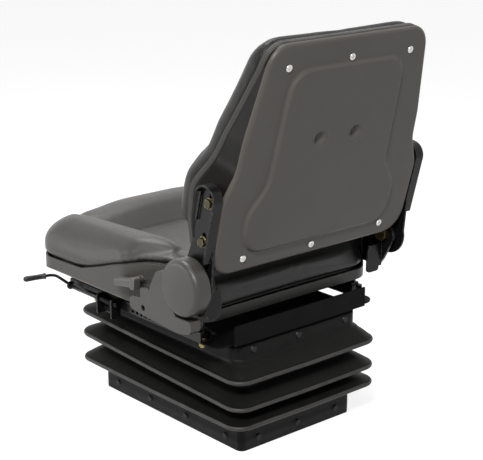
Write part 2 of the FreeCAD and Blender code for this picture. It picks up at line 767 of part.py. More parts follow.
def seat_cushion():
    """Cushion above the rim, with bolsters, front roll and sunk middle, and a plug inside the pan."""
    grow = cushion_proud
    plan = prism(symmetric(seat_plan(grow)), "xy", 240, 380)
    front = pan_front - grow
    rear = pan_rear + grow
    top = bolster_z
    length = prism([(front, 240, 0), (rear, 240, 0), (rear, seat_top_z - 4, 30), (bolster_end + 34, seat_top_z + 4, 30),
                    (bolster_end, top, 28), (-60, top - 3, 200), (-168, top - 4, 90), (front, top - 16, 55)],
                   "yz", -300, 300)
    side = pan_half_w + grow
    across = prism([(-side, 240, 0), (side, 240, 0), (side, top + 6, shoulder_r), (-side, top + 6, shoulder_r)],
                   "xz", -300, 300)
    form = plan.common(length).common(across)
    inner = bolster_inner
    bowl_across = prism([(-inner + bolster_slope, seat_top_z, 24), (inner - bolster_slope, seat_top_z, 24),
                         (inner + 8, top + 30, 0), (-inner - 8, top + 30, 0)], "xz", -320, 320)
    bowl_along = prism([(roll_rear_y - 6, seat_top_z - 1, 30), (300, seat_top_z - 1, 0), (300, 420, 0),
                        (front - 20, 420, 0), (front - 20, roll_crest_z - 22, 0), (roll_crest_y - 34, roll_crest_z - 2, 40),
                        (roll_crest_y + 22, roll_crest_z, 30)], "yz", -300, 300)
    form = form.cut(bowl_across.common(bowl_along))
    nest = prism([(-nest_half_w, nest_front, 20), (nest_half_w, nest_front, 20), (nest_half_w, 300, 0),
                  (-nest_half_w, 300, 0)], "xy", seat_top_z, 400)
    form = form.cut(nest)
    above = prism(rim_profile(200, -320, 300, -gap), "yz", -300, 300)
    crown = form.cut(above)
    side_room = box(pan_rear_half_w - gap, pan_half_w + 20, pan_taper_end + 6, pan_rear + 20, 240, 400)
    crown = crown.cut(side_room).cut(mirrored(side_room))
    inset = pan_t + gap
    plug = pan_body(inset)
    plug = plug.common(prism(rim_profile(200, -320, 300, -1.0), "yz", -300, 300))
    return crown.fuse(plug).removeSplitter()


# Backrest, modelled upright with its rear face at y = 0 and then tipped

def tipped(shape):
    """Move a backrest piece from its own upright frame to its place on the seat."""
    moved = shape.copy()
    moved.rotate(V(0, 0, 0), V(1, 0, 0), -back_tilt)
    moved.translate(V(0, back_y, back_z))
    return moved


def back_plan(inset):
    """Corners of the backrest's outline, moved in all round."""
    w = back_half_w - inset
    m = back_mid_half_w - inset
    n = back_top_half_w - inset
    c = back_corner - inset
    return symmetric([(w - 2, back_bottom + inset, c), (w, 104, 40), (m, 152, 60), (m - 3, 200, 60), (n, 322, 40),
                      (n - 12, back_top - inset, c - 6)])


def rim_side(offset):
    """Side outline of all that lies behind the shell's forward rim, moved forward by an offset."""
    o = -offset
    return [(40, -80, 0), (-44 + o, -80, 0), (-46 + o, 2, 30), (-64 + o, 46, 30), (-69 + o, 108, 30),
            (-46 + o, 178, 60), (-28 + o, 246, 60), (-11 + o, 318, 40), (-9 + o, 420, 0), (40, 420, 0)]


def back_shell():
    """Pressed back plate with turned sides, raised panel, two dimples and screw holes."""
    depth = 90.0
    full = prism(back_plan(0.0), "xz", -depth, 0)
    rear_edges = [e for e in full.Edges if abs(e.BoundBox.YMin) < 0.01 and abs(e.BoundBox.YMax) < 0.01]
    full = full.makeFillet(shell_edge_r, rear_edges)
    hollow = prism(back_plan(shell_t), "xz", -depth - 1, -shell_t)
    hollow_edges = [e for e in hollow.Edges if abs(e.BoundBox.YMin + shell_t) < 0.01 and abs(e.BoundBox.YMax + shell_t) < 0.01]
    hollow = hollow.makeFillet(shell_edge_r - shell_t, hollow_edges)
    shell = full.cut(hollow).common(prism(rim_side(0.0), "yz", -300, 300))
    panel = prism(symmetric([(160, 8, 40), (160, 78, 40), (127, 122, 45), (122, 250, 60), (118, 308, 36)]),
                  "xz", -0.5, panel_rise)
    front_edges = [e for e in panel.Edges if abs(e.BoundBox.YMin - panel_rise) < 0.01]
    panel = panel.makeChamfer(panel_rise - 0.2, front_edges)
    shell = shell.fuse(panel)
    for x in (-dimple_x, dimple_x):
        ball_r = (dimple_r ** 2 + dimple_depth ** 2) / (2 * dimple_depth)
        ball = Part.makeSphere(ball_r, V(x, panel_rise + ball_r - dimple_depth, dimple_v))
        shell = shell.cut(ball)
    for x, v in screw_places():
        shell = shell.cut(rod(2.5, (x, 5, v), (x, -shell_t - 1, v)))
    for v in (arm_bolt_low, arm_bolt_high):
        shell = shell.cut(rod(arm_bolt_r, (-300, arm_bolt_w, v), (300, arm_bolt_w, v)))
    return tipped(shell.removeSplitter())


def screw_places():
    """Where the six screws of the back plate are."""
    return [(-130.5, 315.0), (0.0, 318.0), (130.5, 315.0), (-152.5, 0.0), (4.0, -7.0), (152.5, 0.0)]


def back_screws():
    """Six bright pan head screws."""
    screws = []
    for x, v in screw_places():
        head = rod(screw_r, (x, 0, v), (x, screw_h, v))
        head = head.makeFillet(1.4, [e for e in head.Edges if e.BoundBox.YMin > screw_h - 0.01])
        head = head.cut(box(x - 3, x + 3, screw_h - 0.8, screw_h + 1, v - 0.6, v + 0.6))
        head = head.cut(box(x - 0.6, x + 0.6, screw_h - 0.8, screw_h + 1, v - 3, v + 3))
        screws.append(fused([head, rod(2.5, (x, -shell_t, v), (x, 0, v))]))
    return tipped(Part.makeCompound(screws))


def back_edge_trim():
    """Ribbed edging strip round the rim, between the shell and the cushion."""
    ring = prism(back_plan(1.0), "xz", -130, 0).cut(prism(back_plan(1.0 + trim_t), "xz", -131, 1))
    band = prism(rim_side(trim_w), "yz", -300, 300).cut(prism(rim_side(gap), "yz", -301, 301))
    return tipped(ring.common(band).removeSplitter())


def back_cushion():
    """Backrest cushion: a core inside the shell and the trim, and a crowned pad in front."""
    core = prism(back_plan(1.0 + trim_t + gap), "xz", -110, -shell_t - gap)
    core = core.common(prism(rim_side(trim_w + 4), "yz", -300, 300))
    low = [(pad_low_half_w, pad_bottom, 34), (pad_low_half_w + 1, 6, 20), (back_half_w - 2, 36, 20)]
    pad = prism(symmetric(low + back_plan(2.0)[1:6]), "xz", -160, 0)
    front = [(-50, back_bottom, 0), (-98, pad_bottom, 20), (-112, 0, 40), (-120, 60, 60), (-122, 100, 60),
             (-100, 178, 90), (-82, 246, 90), (-64, 322, 50), (-38, back_top - 3, 26), (-trim_w - 3, back_top - 2, 0),
             (-trim_w - 3, 420, 0), (200, 420, 0), (200, back_bottom, 0)]
    pad = pad.common(prism(front, "yz", -300, 300))
    pad = pad.cut(prism(rim_side(trim_w + gap), "yz", -300, 300))
    return tipped(core.fuse(pad).removeSplitter())


def to_back(y, z):
    """A point of the seat in the backrest's own upright frame, as (w, v)."""
    t = math.radians(back_tilt)
    dy = y - back_y
    dz = z - back_z
    return dy * math.cos(t) - dz * math.sin(t), dy * math.sin(t) + dz * math.cos(t)


def back_arm():
    """Left hinge arm: stamped channel with turned edges, slotted above each bolt."""
    x0 = back_half_w
    w0, v0 = to_back(hinge_y, hinge_z)
    upright = [(-48, 20, 30), (-1, 6, 30), (-1, arm_length, 22), (-48, arm_length, 22)]
    lobe_disc = rod(arm_lobe, (x0, w0, v0), (x0 + arm_web, w0, v0))
    neck = prism([(-48, 34, 20), (-1, 34, 0), (w0 + arm_lobe - 1, v0 - 4, 8), (w0 - arm_lobe + 1, v0, 8)],
                 "yz", x0, x0 + arm_web)
    web = fused([prism(upright, "yz", x0, x0 + arm_web), neck, lobe_disc])
    wall_out = prism([(-48, 20, 30), (-1, 6, 0), (-1, arm_length, 22), (-48, arm_length, 22)], "yz", x0, x0 + arm_depth)
    wall_in = prism([(-60, 0, 0), (-1 - arm_web, 0, 0), (-1 - arm_web, arm_length - arm_web, 19),
                     (-48 + arm_web, arm_length - arm_web, 19), (-48 + arm_web, 60, 0), (-60, 60, 0)],
                    "yz", x0 + arm_web, x0 + arm_depth + 1)
    front_low = box(x0 + arm_web + 4, x0 + arm_depth + 1, -60, -30, 0, arm_length - 18)
    wall = wall_out.cut(wall_in).cut(front_low)
    wall = wall.cut(rod(cover_r + 4, (x0 - 1, w0, v0), (x0 + arm_depth + 2, w0, v0)))
    arm = fused([web, wall])
    for v in (arm_bolt_low, arm_bolt_high):
        slot = prism([(arm_bolt_w - arm_bolt_r, v - arm_bolt_r, arm_bolt_r - 0.1),
                      (arm_bolt_w + arm_bolt_r, v - arm_bolt_r, arm_bolt_r - 0.1),
                      (arm_bolt_w + arm_bolt_r, v + 16, arm_bolt_r - 0.1),
                      (arm_bolt_w - arm_bolt_r, v + 16, arm_bolt_r - 0.1)], "yz", x0 - 1, x0 + arm_web + 1)
        arm = arm.cut(slot)
    arm = arm.cut(rod(hinge_pin_r + bore_play, (x0 - 1, w0, v0), (x0 + arm_web + 1, w0, v0)))
    return tipped(arm)


def arm_bolts():
    """Zinc bolts that hold both arms to the shell's sides."""
    solids = []
    x0 = back_half_w
    for v in (arm_bolt_low, arm_bolt_high):
        shank = rod(arm_bolt_r - 0.1, (x0 - shell_t, arm_bolt_w, v), (x0 + arm_web, arm_bolt_w, v))
        washer = rod(arm_bolt_head + 1.5, (x0 + arm_web, arm_bolt_w, v), (x0 + arm_web + 1.5, arm_bolt_w, v))
        corners = [V(x0 + arm_web + 1.5, arm_bolt_w + arm_bolt_head * math.cos(math.radians(60 * i)),
                     v + arm_bolt_head * math.sin(math.radians(60 * i))) for i in range(7)]
        head = Part.Face(Part.makePolygon(corners)).extrude(V(5, 0, 0))
        bolt = fused([shank, washer, head])
        solids += [bolt, mirrored(bolt)]
    return tipped(Part.makeCompound(solids))


def recline_sector():
    """Toothed sector welded inside the left arm, which the recline pawl holds."""
    x0 = back_half_w - 5
    sector = rod(sector_r - 3, (x0, hinge_y, hinge_z), (back_half_w, hinge_y, hinge_z))
    keep = prism([(hinge_y + 4, hinge_z, 0), (hinge_y - 70, hinge_z + 34, 0), (hinge_y - 70, hinge_z - 34, 0)],
                 "yz", x0 - 1, back_half_w + 1)
    teeth = []
    step = 60.0 / sector_teeth
    for i in range(sector_teeth):
        angle = math.radians(180 - 27 + i * (54.0 / (sector_teeth - 1)))
        wide = math.radians(step * 0.26)
        corners = []
        for r, side in ((sector_r - 4, -1.6), (sector_r, -0.7), (sector_r, 0.7), (sector_r - 4, 1.6), (sector_r - 4, -1.6)):
            a = angle + side * wide
            corners.append(V(x0, hinge_y + r * math.cos(a), hinge_z + r * math.sin(a)))
        teeth.append(Part.Face(Part.makePolygon(corners)).extrude(V(back_half_w - x0, 0, 0)))
    plate = sector.common(keep)
    hub = rod(18, (x0, hinge_y, hinge_z), (back_half_w, hinge_y, hinge_z))
    body = fused([plate, hub] + teeth)
    return body.cut(rod(bush_r + gap, (x0 - 1, hinge_y, hinge_z), (back_half_w + 1, hinge_y, hinge_z)))


def hinge_bracket():
    """Left seat side bracket: plate on the pan's side, hinge lobe and rear tab."""
    x0 = pan_rear_half_w
    low = pan_edge_z + 6
    plate = prism([(pan_taper_end + 12, low, 6), (hinge_y - 6, low, 0), (hinge_y + 4, hinge_z - 46, 12),
                   (hinge_y + bracket_lobe, hinge_z - 6, 10), (hinge_y + bracket_lobe, hinge_z + bracket_lobe, bracket_lobe - 1),
                   (hinge_y - bracket_lobe, hinge_z + bracket_lobe - 8, 20), (lever_pin_y, lever_pin_z + 15, 12),
                   (pan_taper_end + 12, lever_pin_z + 6, 6)], "yz", x0, x0 + bracket_t)
    tab_y = hinge_y - 4
    tab = prism([(x0 - 34, hinge_z - 66, 6), (x0 - 6, hinge_z - 66, 6), (x0 - 6, low + 1, 0), (x0 + 1, low + 1, 0),
                 (x0 + 1, hinge_z - 18, 0), (x0 - 34, hinge_z - 18, 8)], "xz", tab_y, tab_y + 4)
    bracket = fused([plate, tab])
    bracket = bracket.cut(rod(hinge_pin_r, (x0 - 1, hinge_y, hinge_z), (x0 + bracket_t + 1, hinge_y, hinge_z)))
    return bracket


def bracket_with_lever_hole():
    """The left bracket also carries the recline lever's pin."""
    x0 = pan_rear_half_w
    return hinge_bracket().cut(
        rod(lever_pin_r, (x0 - 1, lever_pin_y, lever_pin_z), (x0 + bracket_t + 1, lever_pin_y, lever_pin_z)))


def hinge_pin(end_x):
    """Shouldered hinge pin with its head inside the bracket."""
    x0 = pan_rear_half_w
    shank = rod(hinge_pin_r, (x0 - 5, hinge_y, hinge_z), (end_x, hinge_y, hinge_z))
    head = rod(hinge_pin_r + 4, (x0 - 6, hinge_y, hinge_z), (x0, hinge_y, hinge_z))
    return fused([shank, head])


def hinge_bush():
    """Spacer bush between bracket and arm."""
    x0 = pan_rear_half_w + bracket_t
    bush = rod(bush_r, (x0, hinge_y, hinge_z), (back_half_w - gap, hinge_y, hinge_z))
    return bush.cut(rod(hinge_pin_r, (x0 - 1, hinge_y, hinge_z), (back_half_w, hinge_y, hinge_z)))


def hinge_nut():
    """Nut and washer outside the arm."""
    x0 = back_half_w + arm_web + gap
    washer = rod(hinge_pin_r + 6, (x0, hinge_y, hinge_z), (x0 + 2, hinge_y, hinge_z))
    r = hinge_pin_r + 4.5
    corners = [V(x0 + 2, hinge_y + r * math.cos(math.radians(60 * i)), hinge_z + r * math.sin(math.radians(60 * i)))
               for i in range(7)]
    nut = Part.Face(Part.makePolygon(corners)).extrude(V(5.4, 0, 0))
    nut = fused([washer, nut])
    return nut.cut(rod(hinge_pin_r, (x0 - 1, hinge_y, hinge_z), (x0 + 9, hinge_y, hinge_z)))


def round_cover():
    """Domed round cover of the left hinge, pressed on the end of its pin."""
    cap = rod(cover_r, (cover_x, hinge_y, hinge_z), (cover_x + cover_t, hinge_y, hinge_z))
    rim = [e for e in cap.Edges if e.BoundBox.XMin > cover_x + cover_t - 0.01]
    cap = cap.makeFillet(6.0, rim)
    cap = cap.cut(box(cover_x - 1, cover_x + cover_t - 8, hinge_y - 8, hinge_y + 8, hinge_z - cover_r - 1,
                      hinge_z - cover_r + 3))
    return cap.cut(rod(hinge_pin_r, (cover_x - 1, hinge_y, hinge_z), (cover_x + 14, hinge_y, hinge_z)))


def side_cover():
    """Moulded left side cover: outer skin with a rim that stands on the bracket."""
    x1 = side_cover_x
    points = [(52, 262, 6), (54, 246, 8), (96, 241, 20), (176, 236, 20), (214, 242, 12), (206, 262, 0), (170, 262, 0),
              (146, 330, 12), (124, 326, 16), (108, 298, 10), (99, 272, 4), (60, 268, 6)]
    skin = prism(points, "yz", x1 - side_cover_t, x1)
    block = prism([(79, 262, 0), (103, 262, 0), (103, 291, 4), (81, 287, 4)], "yz", x1 - 8, x1 - 0.5)
    rim = prism(points, "yz", pan_rear_half_w + bracket_t + 22, x1 - 1)
    t = side_cover_t
    inner = prism([(56, 262, 3), (57, 249, 5), (96, 244, 20), (176, 239, 20), (210, 245, 9), (203, 259, 0), (168, 259, 0),
                   (144, 327, 9), (126, 323, 13), (111, 297, 7), (102, 269, 3), (61, 265, 3)], "yz", 200, x1 - t)
    shell = skin.fuse(rim.cut(inner))
    shell = shell.fuse(block)
    shell = shell.cut(rod(5, (200, 88, 254), (260, 88, 254)))
    slot = box(200, x1 - t - 0.5, 94, 128, 282, 322)
    shell = shell.cut(slot)
    base_x = pan_rear_half_w + bracket_t
    for y, z in ((122, 272), (172, 256)):
        shell = shell.fuse(rod(5, (base_x, y, z), (x1 - t + 1, y, z)))
    round_room = rod(cover_r + gap, (200, hinge_y, hinge_z), (260, hinge_y, hinge_z))
    return shell.cut(round_room).removeSplitter()


def recline_lever():
    """Lever hub on its pin, with the pawl that holds the sector and the stem of the grip."""
    y = lever_pin_y
    z = lever_pin_z
    x0 = pan_rear_half_w + bracket_t + gap
    x1 = recline_stem_x + recline_stem_t
    hub = rod(lever_hub_r, (x0, y, z), (x1, y, z))
    reach = math.hypot(hinge_y - y, hinge_z - z) - sector_r - 0.4
    pawl = prism([(y, z - 6, 0), (y + reach, z - 2.5, 0), (y + reach, z + 3, 0), (y, z + 6, 0)],
                 "yz", back_half_w - 5, back_half_w)
    stem = prism([(y + 2, z - 4, 3), (y + 2, z + 6, 3), (70, 294, 0), (70, 287, 0)],
                 "yz", recline_stem_x, x1)
    lever = fused([hub, pawl, stem])
    return lever.cut(rod(lever_pin_r + bore_play, (x0 - 1, y, z), (x1 + 1, y, z)))


def recline_lever_grip():
    """Flat tapered grip with a collar at its rear end."""
    x0 = recline_stem_x
    x1 = x0 + recline_stem_t
    x2 = x1 + recline_grip_t
    blade = prism([(66, 283, 3), (68, 299, 3), (14, 287, 4), (20, 276, 4)], "yz", x1 - gap, x2)
    blade = blade.makeFillet(3, [e for e in blade.Edges if e.BoundBox.XMin > x2 - 0.1 and e.Length > 20])
    collar = prism([(63, 281, 3), (74, 282, 3), (76, 301, 3), (66, 302, 3)], "yz", x0 - 2, x2 + 0.8)
    return fused([blade, collar]).cut(box(x0, x1, 70, 80, 270, 310))


def recline_lever_pin():
    """Pin of the recline lever, fixed in the bracket."""
    x0 = pan_rear_half_w
    x1 = recline_stem_x + recline_stem_t
    return rod(lever_pin_r, (x0, lever_pin_y, lever_pin_z), (x1, lever_pin_y, lever_pin_z))


def travel_buffers():
    """Rubber blocks that stop the lower rollers at the bottom of the travel."""
    low_angle = math.asin((rise - suspension_travel) / arm_length_axis)
    end_y = rear_axis_y - arm_length_axis * math.cos(low_angle) - roller_r - 1.5
    return both(box(roller_x - 1, roller_x + roller_w, -tray_half_l + tray_corner, end_y, tray_t, base_h - 8))


# Write everything

save("travel_buffers", travel_buffers())
save("recline_lever", recline_lever())
save("recline_lever_grip", recline_lever_grip())
save("recline_lever_pin", recline_lever_pin())
save("base_tray", base_tray())
save("lower_pivot_shaft", cross_shaft(shaft_r, ear_x + ear_t + 2, rear_axis_y, lower_axis_z))
save("upper_pivot_shaft", cross_shaft(shaft_r, ear_x + ear_t + 2, rear_axis_y, upper_axis_z))
save("outer_arms", outer_arms())
save("inner_arms", inner_arms())
save("centre_shaft", cross_shaft(shaft_r, outer_arm_out + 3, cross_y, cross_z))
save("upper_roller_axle", cross_shaft(axle_r, roller_x + roller_w + 1, front_axis_y, upper_axis_z))
save("lower_roller_axle", cross_shaft(axle_r, roller_x + roller_w + 1, front_axis_y, lower_axis_z))
save("upper_rollers", rollers(upper_axis_z))
save("lower_rollers", rollers(lower_axis_z))
save("coil_springs", coil_springs())
save("spring_plate", spring_plate())
save("preload_wedge", preload_wedge())
save("adjuster_spindle", adjuster_spindle())
save("adjuster_knob", adjuster_knob())
save("damper_body", damper_body())
save("damper_rod", damper_rod())
save("damper_lower_pin", cross_shaft(damper_pin_r, damper_eye_r + ear_t + 2, damper_y, damper_low_z))
save("damper_upper_pin", cross_shaft(damper_pin_r, damper_eye_r + ear_t + 2, damper_y, damper_high_z))
save("top_frame", top_frame())
save("boot", boot())
save("lower_clips", lower_clips())
save("upper_clips", upper_clips())
save("left_fixed_rail", fixed_rail())
save("right_fixed_rail", mirrored(fixed_rail()))
save("left_runner", runner())
save("right_runner", mirrored(runner()))
save("rail_bolts", rail_fasteners("bolts"))
save("rail_nuts", rail_fasteners("nuts"))
save("latch_bracket", latch_bracket())
save("slide_lever", slide_lever())
save("slide_lever_grip", slide_lever_grip())
save("seat_pan", seat_pan())
save("seat_cushion", seat_cushion())
save("back_shell", back_shell())
save("back_screws", back_screws())
save("back_edge_trim", back_edge_trim())
save("back_cushion", back_cushion())
save("left_back_arm", back_arm())
save("right_back_arm", mirrored(back_arm()))
save("arm_bolts", arm_bolts())
save("recline_sector", recline_sector())
save("left_hinge_bracket", bracket_with_lever_hole())
save("right_hinge_bracket", mirrored(hinge_bracket()))
save("left_hinge_pin", hinge_pin(cover_x + 13.5))
save("right_hinge_pin", mirrored(hinge_pin(back_half_w + arm_web + 8)))
save("hinge_bushes", both(hinge_bush()))
save("hinge_nuts", both(hinge_nut()))
save("round_cover", round_cover())
save("side_cover", side_cover())
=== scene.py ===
"""Looks of the tractor suspension seat: cushions, pleated boot, pressed back plate, trim, springs and finishes."""

from __future__ import annotations

import json
import logging
import math
from dataclasses import dataclass, field
from enum import Enum

import bpy
import numpy as np
from mathutils import Matrix, Vector

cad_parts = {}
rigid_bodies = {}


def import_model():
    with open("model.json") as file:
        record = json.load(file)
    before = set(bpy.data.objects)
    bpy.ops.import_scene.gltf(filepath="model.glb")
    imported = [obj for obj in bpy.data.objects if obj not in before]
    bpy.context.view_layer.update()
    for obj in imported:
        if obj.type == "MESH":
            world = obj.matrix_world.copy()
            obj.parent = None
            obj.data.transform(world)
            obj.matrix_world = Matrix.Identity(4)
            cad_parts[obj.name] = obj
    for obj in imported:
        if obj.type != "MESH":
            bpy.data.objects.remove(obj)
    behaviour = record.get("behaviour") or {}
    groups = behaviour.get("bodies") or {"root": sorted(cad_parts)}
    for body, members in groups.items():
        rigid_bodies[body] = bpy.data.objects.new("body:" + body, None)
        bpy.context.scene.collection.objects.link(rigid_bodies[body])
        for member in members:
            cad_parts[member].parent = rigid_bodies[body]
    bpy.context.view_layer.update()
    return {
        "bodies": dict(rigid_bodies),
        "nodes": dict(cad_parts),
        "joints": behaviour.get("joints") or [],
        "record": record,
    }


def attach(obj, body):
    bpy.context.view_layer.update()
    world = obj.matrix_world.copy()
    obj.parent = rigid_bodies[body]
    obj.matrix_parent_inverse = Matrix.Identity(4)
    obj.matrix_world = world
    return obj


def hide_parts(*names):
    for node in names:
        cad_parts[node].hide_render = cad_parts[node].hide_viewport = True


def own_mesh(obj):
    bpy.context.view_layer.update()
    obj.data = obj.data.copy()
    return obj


MM = 0.001
MERGE_DISTANCE = 0.00002
CLOTH_FRAMES = 20
LOG = logging.getLogger("seat")
Array = np.ndarray


# Shapes worked out with numpy


def eased(x: Array, low: float, high: float) -> Array:
    """Smooth step from 0 at low to 1 at high.

    Args:
        x: Values to ease.
        low: Where the step starts.
        high: Where the step ends.

    Returns:
        3t^2 - 2t^3 of the clipped share t.
    """
    t = np.clip((np.asarray(x, float) - low) / (high - low), 0.0, 1.0)
    return t * t * (3.0 - 2.0 * t)


def rounded_outline(corners: list[tuple[float, float, float]], count: int) -> Array:
    """Closed plane outline with rounded corners, sampled evenly along its length.

    Each corner (a, b, r) is cut back by r / tan(half its angle) along both sides and joined by
    a circular arc, which is sampled by angle; the whole line is then resampled by arc length.

    Args:
        corners: Corner points with their radii, in order.
        count: Number of samples.

    Returns:
        Array of shape (count, 2).
    """
    data = np.array(corners, float)
    here, radius = data[:, :2], data[:, 2:3]
    last = np.roll(here, 1, axis=0) - here
    after = np.roll(here, -1, axis=0) - here
    last /= np.linalg.norm(last, axis=1, keepdims=True)
    after /= np.linalg.norm(after, axis=1, keepdims=True)
    half = np.arccos(np.clip((last * after).sum(1, keepdims=True), -1.0, 1.0)) / 2.0
    middle = last + after
    length = np.linalg.norm(middle, axis=1, keepdims=True)
    middle = np.where(length > 1e-9, middle / np.maximum(length, 1e-9), 0.0)
    centre = here + middle * radius / np.sin(half)
    start = here + last * radius / np.tan(half) - centre
    end = here + after * radius / np.tan(half) - centre
    a0 = np.arctan2(start[:, 1], start[:, 0])
    turn = np.arctan2(end[:, 1], end[:, 0]) - a0
    turn = (turn + np.pi) % (2.0 * np.pi) - np.pi
    share = np.linspace(0.0, 1.0, 25)
    angle = a0[:, None] + turn[:, None] * share[None, :]
    arc = centre[:, None, :] + radius[:, None, :] * np.stack([np.cos(angle), np.sin(angle)], axis=2)
    line = arc.reshape(-1, 2)
    line = np.vstack([line, line[:1]])
    along = np.concatenate([[0.0], np.cumsum(np.linalg.norm(np.diff(line, axis=0), axis=1))])
    keep = np.concatenate([[True], np.diff(along) > 1e-9])
    at = np.linspace(0.0, along[-1], count, endpoint=False)
    return np.stack([np.interp(at, along[keep], line[keep, k]) for k in range(2)], axis=1)


def mirrored_outline(half: list[tuple[float, float, float]], count: int) -> Array:
    """Rounded outline from the corners of its right half and their mirror images.

    Args:
        half: Corner points (a, b) with their radii, upwards.
        count: Number of samples.

    Returns:
        Array of shape (count, 2).
    """
    return rounded_outline(half + [(-a, b, r) for a, b, r in reversed(half)], count)


def distance_to_line(points: Array, line: Array) -> Array:
    """Distance of each plane point to a closed polyline, worked out for about 4000 points at a time.

    Args:
        points: Array of shape (n, 2).
        line: Array of shape (m, 2).

    Returns:
        Array of n distances, the least over the segments of |p - (a + t (b - a))| with t clipped to 0..1.
    """
    d = np.roll(line, -1, axis=0) - line
    size = np.maximum((d * d).sum(1), 1e-12)
    best = np.full(len(points), np.inf)
    for chunk in np.array_split(np.arange(len(points)), max(1, len(points) // 4000)):
        rel = points[chunk, None, :] - line[None, :, :]
        t = np.clip((rel * d[None]).sum(2) / size[None], 0.0, 1.0)
        gap = rel - t[:, :, None] * d[None]
        best[chunk] = np.sqrt((gap * gap).sum(2).min(1))
    return best


def inside_line(points: Array, line: Array) -> Array:
    """Whether plane points lie inside a closed polyline, by counting crossings of a ray along +a.

    Args:
        points: Array of shape (n, 2).
        line: Array of shape (m, 2).

    Returns:
        Boolean array.
    """
    a, b = line, np.roll(line, -1, axis=0)
    px, py = points[:, 0:1], points[:, 1:2]
    span = (a[None, :, 1] > py) != (b[None, :, 1] > py)
    slope = (b[:, 0] - a[:, 0]) / np.where(np.abs(b[:, 1] - a[:, 1]) < 1e-12, 1e-12, b[:, 1] - a[:, 1])
    cross = a[None, :, 0] + (py - a[None, :, 1]) * slope[None]
    return ((span & (px < cross)).sum(1) % 2) == 1


def linked(name: str, data: bpy.types.ID) -> bpy.types.Object:
    """New object in the scene for a mesh, a lamp or a camera.

    Args:
        name: Object name.
        data: Its data.

    Returns:
        The object.
    """
    obj = bpy.data.objects.new(name, data)
    bpy.context.scene.collection.objects.link(obj)
    return obj


def grid_mesh(name: str, grid: Array, wrap: bool = False, cut: Array | None = None) -> bpy.types.Object:
    """Mesh object from a grid of points in millimetres.

    Args:
        name: Object name.
        grid: Array of shape (u, v, 3), each row a closed ring.
        wrap: Whether the last row joins the first.
        cut: Points whose faces are left out, as a boolean array of shape (u, v).

    Returns:
        The linked, smooth shaded object, with coincident points merged.
    """
    nu, nv = grid.shape[:2]
    u, v = np.meshgrid(np.arange(nu if wrap else nu - 1), np.arange(nv), indexing="ij")
    u2, v2 = (u + 1) % nu, (v + 1) % nv
    quads = np.stack([u * nv + v, u2 * nv + v, u2 * nv + v2, u * nv + v2], axis=2).reshape(-1, 4)
    if cut is not None:
        quads = quads[~cut.reshape(-1)[quads].any(axis=1)]
    mesh = bpy.data.meshes.new(name)
    mesh.vertices.add(nu * nv)
    mesh.vertices.foreach_set("co", (grid.reshape(-1) * MM).astype(np.float32))
    mesh.loops.add(quads.size)
    mesh.loops.foreach_set("vertex_index", quads.reshape(-1).astype(np.int32))
    mesh.polygons.add(len(quads))
    mesh.polygons.foreach_set("loop_start", (np.arange(len(quads)) * 4).astype(np.int32))
    mesh.polygons.foreach_set("use_smooth", np.ones(len(quads), bool))
    mesh.update(calc_edges=True)
    mesh.validate()
    obj = linked(name, mesh)
    merge(obj)
    return obj


def make_active(objects: list[bpy.types.Object]) -> None:
    """Select some objects alone, with the first one active.

    Args:
        objects: The objects.
    """
    bpy.ops.object.select_all(action="DESELECT")
    for obj in objects:
        obj.select_set(True)
    bpy.context.view_layer.objects.active = objects[0]


def joined(name: str, objects: list[bpy.types.Object]) -> bpy.types.Object:
    """One object from several, with coincident vertices merged.

    Args:
        name: Name of the result.
        objects: Mesh objects to join.

    Returns:
        The joined object.
    """
    make_active(objects)
    bpy.ops.object.join()
    merge(objects[0])
    objects[0].name = name
    objects[0].data.name = name
    return objects[0]


def merge(obj: bpy.types.Object) -> None:
    """Merge the vertices that coincide and point the faces outwards.

    Args:
        obj: Mesh object.
    """
    make_active([obj])
    bpy.ops.object.mode_set(mode="EDIT")
    bpy.ops.mesh.select_all(action="SELECT")
    bpy.ops.mesh.remove_doubles(threshold=MERGE_DISTANCE)
    bpy.ops.mesh.normals_make_consistent(inside=False)
    bpy.ops.object.mode_set(mode="OBJECT")


def read_vectors(items: bpy.types.bpy_prop_collection, key: str) -> Array:
    """One vector of each of a mesh's items.

    Args:
        items: Vertices, normals or faces.
        key: The vector's name.

    Returns:
        Array of shape (n, 3).
    """
    values = np.empty(len(items) * 3, np.float32)
    items.foreach_get(key, values)
    return values.reshape(-1, 3).astype(float)


def points_of(obj: bpy.types.Object) -> Array:
    """Vertices of a mesh object in millimetres."""
    return read_vectors(obj.data.vertices, "co") / MM


def normals_of(obj: bpy.types.Object) -> Array:
    """Vertex normals of a mesh object."""
    return read_vectors(obj.data.vertex_normals, "vector")


def centres_of(obj: bpy.types.Object) -> Array:
    """Face centres of a mesh object in millimetres."""
    return read_vectors(obj.data.polygons, "center") / MM


def put_points(obj: bpy.types.Object, points: Array) -> None:
    """Write vertices in millimetres back to a mesh object."""
    obj.data.vertices.foreach_set("co", (points.reshape(-1) * MM).astype(np.float32))
    obj.data.update()


def apply_modifier(obj: bpy.types.Object, name: str) -> None:
    """Apply one modifier of an object, by its name."""
    make_active([obj])
    bpy.ops.object.modifier_apply(modifier=name)


def thicken(obj: bpy.types.Object, wall: float) -> None:
    """Give a shell a wall on its inner side.

    Args:
        obj: The shell.
        wall: The wall's thickness in millimetres.
    """
    thick = obj.modifiers.new("wall", "SOLIDIFY")
    thick.thickness = wall * MM
    thick.offset = -1.0


